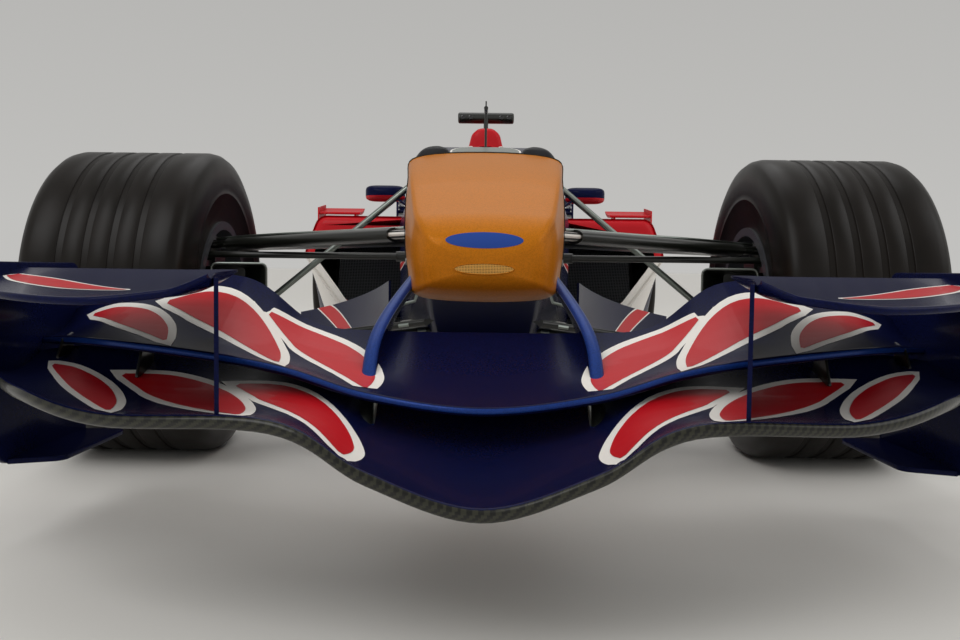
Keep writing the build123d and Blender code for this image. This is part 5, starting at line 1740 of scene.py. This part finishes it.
class DRESS_OT_engine_cover(bpy.types.Operator):
    """Smooth engine cover with a red crown, white lines, sweeps, the open airbox mouth with painted shade
    inside, and a rear cap of painted shade
    """

    bl_idname = "racing_car.engine_cover"
    bl_label = "Engine cover"

    def execute(self, context):
        rings = body_rings(COVER_SECTIONS, 20, COVER_RADII)
        front = []
        for ahead, inset in COVER_NOSE:
            shape = shrunk([Vector((x, z)) for x, _, z in rings[0]], inset * MM)
            front.append([(p.x, (ROLL_HOOP - ahead) * MM, p.y) for p in shape])
        rings = [*front, *rings]
        points, faces = loft(rings, False)
        columns = len(rings[0])
        low, high = COVER_STRIPES
        zones = [0 if low <= number % columns < high else 1 for number in range(len(faces))]
        for column in range(columns // 2 - 1):
            beside = columns - 1 - column
            faces.append((column, column + 1, beside - 1, beside))
            zones.append(1 if column < low + 6 else 0)
        # The closed rear end is painted near-black, painted shade that reads as an opening
        faces.append(tuple((len(rings) - 1) * columns + column for column in range(columns)))
        zones.append(2)
        cover = piece(
            "engine_cover_skin",
            (points, faces),
            ("body_paint", "red_paint", "dark_hollow"),
            stands_for=["engine_cover"],
            zones=zones,
        )
        throat = [
            ring_points(AIRBOX_MOUTH, ROLL_HOOP - 40, 12),
            ring_points(AIRBOX_MOUTH, ROLL_HOOP + 10, 12),
            ring_points(AIRBOX_THROAT, ROLL_HOOP + 180, 12),
        ]
        # The throat's walls are painted near-black, painted shade of the hollow
        carve(cover, loft(throat), "dark_hollow")
        lip = closed_tube(line_round(ring_points(AIRBOX_MOUTH, ROLL_HOOP - 18, 12)), 4)
        piece("airbox_lip", lip, "red_paint")
        lines = [tube(line_on(rings, column), 1.8, 8) for column in COVER_STRIPES]
        piece("cover_lines", together(*lines), "white_paint")
        surface = surface_of(cover)
        sweeps("cover_sweeps", [COVER_SWEEP], from_left, [surface], 5, thicker=2.5)
        screws = []
        for number in range(COVER_SCREWS):
            ray = from_left(ROLL_HOOP + 60 + number * 150, 640 - number * 18)
            screws.append(screw_at(surface, ray, 5))
        metal_heads("cover_screws", screws)
        return {"FINISHED"}


# Rear wing elements: leading and trailing edge behind the rear axle and above the floor, sag, thickness
REAR_HALF = 492
REAR_ELEMENTS = [
    ("rear_wing_main_skin", (160, 738), (385, 782), 22, 18),
    ("rear_wing_upper_skin", (372, 806), (478, 840), 12, 10),
]
REAR_BEAM = ((215, 372), (345, 408), 8, 12)
REAR_PLATE = [
    (REAR_AXLE + 95, 845),
    (TAIL, 845),
    (TAIL, 470),
    (TAIL - 60, 250),
    (REAR_AXLE + 190, 250),
    (REAR_AXLE + 190, 480),
    (REAR_AXLE + 95, 620),
]
REAR_PLATE_RADII = [24, 24, 12, 30, 24, 30, 40]
REAR_PLATE_WALL = 8
# Slots of the plate, one above the other: (behind the rear axle, above the slot's level) corners
PLATE_SLOTS = 4
SLOT_TOP = 812
SLOT_PITCH = 22
SLOT_CORNERS = [(150, 0), (270, 6), (270, 14), (150, 8)]
REAR_WING_SWEEP = [
    (60, REAR_AXLE + 160, 6),
    (140, REAR_AXLE + 230, 20),
    (260, REAR_AXLE + 300, 24),
    (400, REAR_AXLE + 350, 12),
]
REAR_PLATE_SWEEP = [
    (REAR_AXLE + 190, 330, 5),
    (REAR_AXLE + 280, 430, 30),
    (REAR_AXLE + 360, 570, 40),
    (REAR_AXLE + 440, 700, 14),
]
GURNEY_STRIP = [
    (REAR_AXLE + 476, 839),
    (REAR_AXLE + 479, 839),
    (REAR_AXLE + 477, 845),
    (REAR_AXLE + 474, 845),
]
# Screws of the plate: behind the rear axle, height
REAR_PLATE_SCREWS = [(180, 750), (350, 778), (385, 812), (465, 834), (235, 382), (325, 400)]


def straight_wing(lead, trail, sag, thickness):
    """Wing of one section from side to side, its edges placed from the rear axle."""
    ends = [(x, REAR_AXLE + lead[0], lead[1], REAR_AXLE + trail[0], trail[1]) for x in (0, REAR_HALF)]
    return wing_form(ends, sag, thickness, 6)


class DRESS_OT_rear_wing(bpy.types.Operator):
    """Rear wing planes, beam and slotted endplates with their gurney strip"""

    bl_idname = "racing_car.rear_wing"
    bl_label = "Rear wing"

    def execute(self, context):
        planes = []
        for name, lead, trail, sag, thickness in REAR_ELEMENTS:
            form = straight_wing(lead, trail, sag, thickness)
            replaced = ["rear_wing_planes"] if not planes else []
            zones = wing_zones(form, TOP_COUNT, TOP_COUNT + NOSE_COUNT - 1)
            finish = ("body_paint", "body_paint", "carbon_weave")
            planes.append(piece(name, form, finish, stands_for=replaced, zones=zones))
        beam = straight_wing(*REAR_BEAM)
        piece("beam_wing_skin", beam, "carbon_weave", stands_for=["beam_wing"])
        sweeps("rear_wing_sweeps", [REAR_WING_SWEEP], from_above, [surface_of(one) for one in planes], 5)
        outer = REAR_HALF + REAR_PLATE_WALL
        plate = slab(REAR_PLATE, REAR_PLATE_RADII, REAR_HALF, outer, square_to_x, 1.5)
        slots = []
        for number in range(PLATE_SLOTS):
            height = SLOT_TOP - number * SLOT_PITCH
            corners = [(REAR_AXLE + behind, height + rise) for behind, rise in SLOT_CORNERS]
            slots.append(slab(corners, 3, REAR_HALF - 9, REAR_HALF + 20, square_to_x, 0.1))
        for side, word in SIDES:
            replaced = ["rear_wing_endplates"] if side > 0 else []
            made = piece(f"rear_endplate_{word}", on_side(plate, side), "body_paint", stands_for=replaced)
            carve(made, on_side(together(*slots), side), "satin_carbon")
        surface = surface_of(bpy.data.objects["rear_endplate_left"])
        sweeps("rear_endplate_sweeps", [REAR_PLATE_SWEEP], from_left, [surface], 7)
        strip = slab(GURNEY_STRIP, 0.5, 2 - REAR_HALF, REAR_HALF - 2, square_to_x, 0.3)
        piece("rear_gurney_strip", strip, "satin_carbon")
        places = [(outer, REAR_AXLE + along, height) for along, height in REAR_PLATE_SCREWS]
        metal_heads("rear_plate_screws", [knob(place, (1, 0, 0), 5.5, 1.8) for place in places])
        return {"FINISHED"}


# Gearbox sides: station, x of the side at the rib heights
GEARBOX_RIBS = [
    (160, [(ENGINE_REAR + 30, 122), (REAR_AXLE - 60, 103)]),
    (245, [(ENGINE_REAR + 30, 119), (REAR_AXLE - 60, 102.5), (REAR_AXLE + 180, 76)]),
    (375, [(ENGINE_REAR + 30, 116), (REAR_AXLE - 60, 101), (REAR_AXLE + 180, 73)]),
]
GEARBOX_REAR = REAR_AXLE + 185
EXHAUST_START = (215, ENGINE_REAR - 250, 400)
EXHAUST_END = (262, ENGINE_REAR - 50, 545)
EXHAUST_RADIUS = 37
# Bolts of the gearbox: heights at its rear face, then how many along its side
GEARBOX_BOLT_HEIGHTS = (222, 262, 302, 342, 376)
GEARBOX_SIDE_BOLTS = 6
# Lenses of the rain light: rows, columns and pitch
LENS_ROWS = 4
LENS_COLUMNS = 5
LENS_PITCH = 12
FLOOR_EDGE = [
    (331, SIDEPOD_FRONT - 69, 99),
    (610, SIDEPOD_FRONT + 30, 99),
    (689, SIDEPOD_FRONT + 160, 99),
    (689, REAR_AXLE - 520, 99),
    (499, REAR_AXLE - 360, 99),
    (499, REAR_AXLE - 182, 99),
]
PLANK_STUDS = 9
FLOOR_SCREWS = [(560, REAR_AXLE - 510, 103), (526, REAR_AXLE - 425, 103)]
BARGEBOARD_SWEEP = [
    (FRONT_AXLE + 560, 130, 5),
    (FRONT_AXLE + 760, 170, 24),
    (FRONT_AXLE + 960, 250, 26),
    (FRONT_AXLE + 1140, 300, 8),
]
WINGLET_MARK = [(SIDEPOD_FRONT + 480, 622, 3), (SIDEPOD_FRONT + 560, 640, 12), (SIDEPOD_FRONT + 620, 660, 5)]


class DRESS_OT_tail(bpy.types.Operator):
    """Casing ribs and bolts, exhaust lips, lenses, floor edges and studs, and marks on the small plates"""

    bl_idname = "racing_car.tail"
    bl_label = "Tail and floor"

    def execute(self, context):
        ribs = [tube([(x, y, height) for y, x in path], 6) for height, path in GEARBOX_RIBS]
        piece("gearbox_ribs", both(*ribs), "cast_casing")
        places = [(74, GEARBOX_REAR - 16, height) for height in GEARBOX_BOLT_HEIGHTS]
        for number in range(GEARBOX_SIDE_BOLTS):
            places.append((118 - number * 4.2, ENGINE_REAR + 50 + number * 62, 350))
        metal_heads("gearbox_bolts", [knob(place, (1, 0, 0), 6, 5, 6) for place in places])
        way = (Vector(EXHAUST_END) - Vector(EXHAUST_START)).normalized()
        across, up = square_to(way)
        ring = circle(Vector(EXHAUST_END) - way * 2, across * EXHAUST_RADIUS, up * EXHAUST_RADIUS, 32)
        piece("exhaust_lips", both(closed_tube(ring, 3, 8)), "pipe_steel")
        lenses = []
        for row in range(LENS_ROWS):
            for column in range(LENS_COLUMNS):
                place = (LENS_PITCH * (column - 2), TAIL - 4.5, 329 + LENS_PITCH * row)
                lenses.append(knob(place, (0, 1, 0), 4.6, 3, 10))
        piece("rain_light_lenses", together(*lenses), "lamp_red")
        eyes = [knob((x, ROLL_HOOP + 39, 1024), (0, -1, 0), 9, 3, 20) for x in (62, 92)]
        piece("camera_lenses", both(*eyes), "screen_glass")
        piece("floor_edges", both(tube(FLOOR_EDGE, 5)), "satin_carbon")
        places = [(105, FRONT_AXLE + 540 + number * 260, 35.3) for number in range(PLANK_STUDS)]
        metal_heads("plank_studs", [knob(place, (0, 0, -1), 12, 1.2, 16) for place in places])
        metal_heads("floor_screws", [knob(place, (0, 0, 1), 7, 3, 6) for place in FLOOR_SCREWS])
        boards = surface_of(frame["nodes"]["bargeboards"])
        sweeps("bargeboard_sweeps", [BARGEBOARD_SWEEP], from_left, [boards], 5)
        winglets = surface_of(frame["nodes"]["side_winglets"])
        mark = band(WINGLET_MARK, from_left, winglets, context.scene.racing_car_paint.lift)
        piece("winglet_marks", both(mark), "white_paint")
        return {"FINISHED"}


class DRESS_OT_finishes(bpy.types.Operator):
    """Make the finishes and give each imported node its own"""

    bl_idname = "racing_car.finishes"
    bl_label = "Finishes"

    def execute(self, context):
        make_finishes(context.scene.racing_car_paint)
        for part in frame["record"]["subparts"]:
            mesh = frame["nodes"][part["node"]].data
            mesh.materials.clear()
            mesh.materials.append(FINISH[NODE_FINISH.get(part["node"], part["material_slot"])])
        return {"FINISHED"}


# Lamps: name, place, size, power, in metres and watts
LAMPS = [
    ("key_light", (-2.5, -4.0, 4.5), 3.0, 70),
    ("fill_light", (4.0, -2.0, 3.5), 3.0, 30),
    ("top_light", (0.0, 1.5, 5.0), 4.0, 45),
]
LAMP_TARGET = (0, 0, 0.4)
AMBIENT = 0.92
# Half the floor's side and how far the camera sees, in metres, so that no edge shows in any view
FLOOR_HALF = 400
SIGHT = 1500
SENSOR_WIDTH = 36
# Backdrop: heights of the view direction, and the strengths there
BACKDROP = {"From_Min": 0.05, "From_Max": 0.7, "To_Min": 0.6, "To_Max": 0.4}


class DRESS_OT_stage(bpy.types.Operator):
    """Add the pale floor and backdrop, soft studio lights and the camera"""

    bl_idname = "racing_car.stage"
    bl_label = "Stage"

    def execute(self, context):
        scene = context.scene
        scene.view_settings.view_transform = "Standard"
        floor_mesh = bpy.data.meshes.new("studio_floor")
        bm = bmesh.new()
        bmesh.ops.create_grid(bm, x_segments=1, y_segments=1, size=FLOOR_HALF)
        bm.to_mesh(floor_mesh)
        bm.free()
        floor = bpy.data.objects.new("studio_floor", floor_mesh)
        scene.collection.objects.link(floor)
        pale, _, _ = material("Pale studio floor", Base_Color=linear("d8d6d2"), Roughness=0.6)
        floor_mesh.materials.append(pale)
        world = bpy.data.worlds.new("Studio")
        world.use_nodes = True
        tree = world.node_tree
        back = tree.nodes["Background"]
        paths = add(tree, "LightPath")
        seen = paths.outputs["Is Camera Ray"]
        for kind in ("Is Glossy Ray", "Is Transmission Ray"):
            seen = add(tree, "Math", {"operation": "MAXIMUM"}, _0=seen, _1=paths.outputs[kind]).outputs[0]
        place = add(tree, "SeparateXYZ", Vector=add(tree, "TexCoord").outputs["Generated"])
        height = add(tree, "MapRange", Value=place.outputs["Z"], **BACKDROP)
        level = add(tree, "Mix", _0=seen, _2=AMBIENT, _3=height.outputs["Result"])
        back.inputs["Color"].default_value = linear("f2f1ee")
        tree.links.new(level.outputs[0], back.inputs["Strength"])
        scene.world = world
        for name, place, size, power in LAMPS:
            data = bpy.data.lights.new(name, "AREA")
            data.size = size
            data.energy = power
            light = bpy.data.objects.new(name, data)
            light.location = place
            light.rotation_euler = (Vector(LAMP_TARGET) - Vector(place)).to_track_quat("-Z", "Y").to_euler()
            scene.collection.objects.link(light)
        data = bpy.data.cameras.new("camera")
        data.sensor_width = SENSOR_WIDTH
        data.lens = SENSOR_WIDTH * FOCAL_PIXELS / FRAME_WIDTH
        data.clip_end = SIGHT
        camera = bpy.data.objects.new("camera", data)
        camera.matrix_world = (
            Matrix.Translation(eye_place())
            @ Matrix.Rotation(math.radians(CAMERA_YAW), 4, "Z")
            @ Matrix.Rotation(math.radians(90 - CAMERA_PITCH), 4, "X")
            @ Matrix.Rotation(math.radians(CAMERA_ROLL), 4, "Z")
        )
        scene.collection.objects.link(camera)
        scene.camera = camera
        return {"FINISHED"}


GROUPS = {
    "racing_car_paint": PaintSettings,
    "racing_car_soft": SoftSettings,
    "racing_car_tyre": TyreSettings,
    "racing_car_stage": StageSettings,
}
STEPS = (
    DRESS_OT_finishes,
    DRESS_OT_front_wing,
    DRESS_OT_wing_ends,
    DRESS_OT_pylons,
    DRESS_OT_nose,
    DRESS_OT_chassis,
    DRESS_OT_pads,
    DRESS_OT_cockpit,
    DRESS_OT_mirrors,
    DRESS_OT_suspension,
    DRESS_OT_wheels,
    DRESS_OT_sidepods,
    DRESS_OT_engine_cover,
    DRESS_OT_rear_wing,
    DRESS_OT_tail,
    DRESS_OT_stage,
)


class DRESS_PT_panel(bpy.types.Panel):
    """Sidebar panel with the sizes, the colours and one button for each step"""

    bl_idname = "DRESS_PT_panel"
    bl_label = "Racing car"
    bl_space_type = "VIEW_3D"
    bl_region_type = "UI"
    bl_category = "Racing car"

    def draw(self, context):
        for group in GROUPS:
            settings = getattr(context.scene, group)
            for name in settings.__annotations__:
                self.layout.prop(settings, name)
        for step in STEPS:
            self.layout.operator(step.bl_idname)


def register():
    for cls in (*GROUPS.values(), *STEPS, DRESS_PT_panel):
        bpy.utils.register_class(cls)
    for name, cls in GROUPS.items():
        setattr(bpy.types.Scene, name, PointerProperty(type=cls))


def unregister():
    for name in GROUPS:
        delattr(bpy.types.Scene, name)
    for cls in reversed((*GROUPS.values(), *STEPS, DRESS_PT_panel)):
        bpy.utils.unregister_class(cls)


def main():
    register()
    for step in STEPS:
        group, name = step.bl_idname.split(".")
        getattr(getattr(bpy.ops, group), name)()
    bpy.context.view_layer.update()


if __name__ == "__main__":
    main()
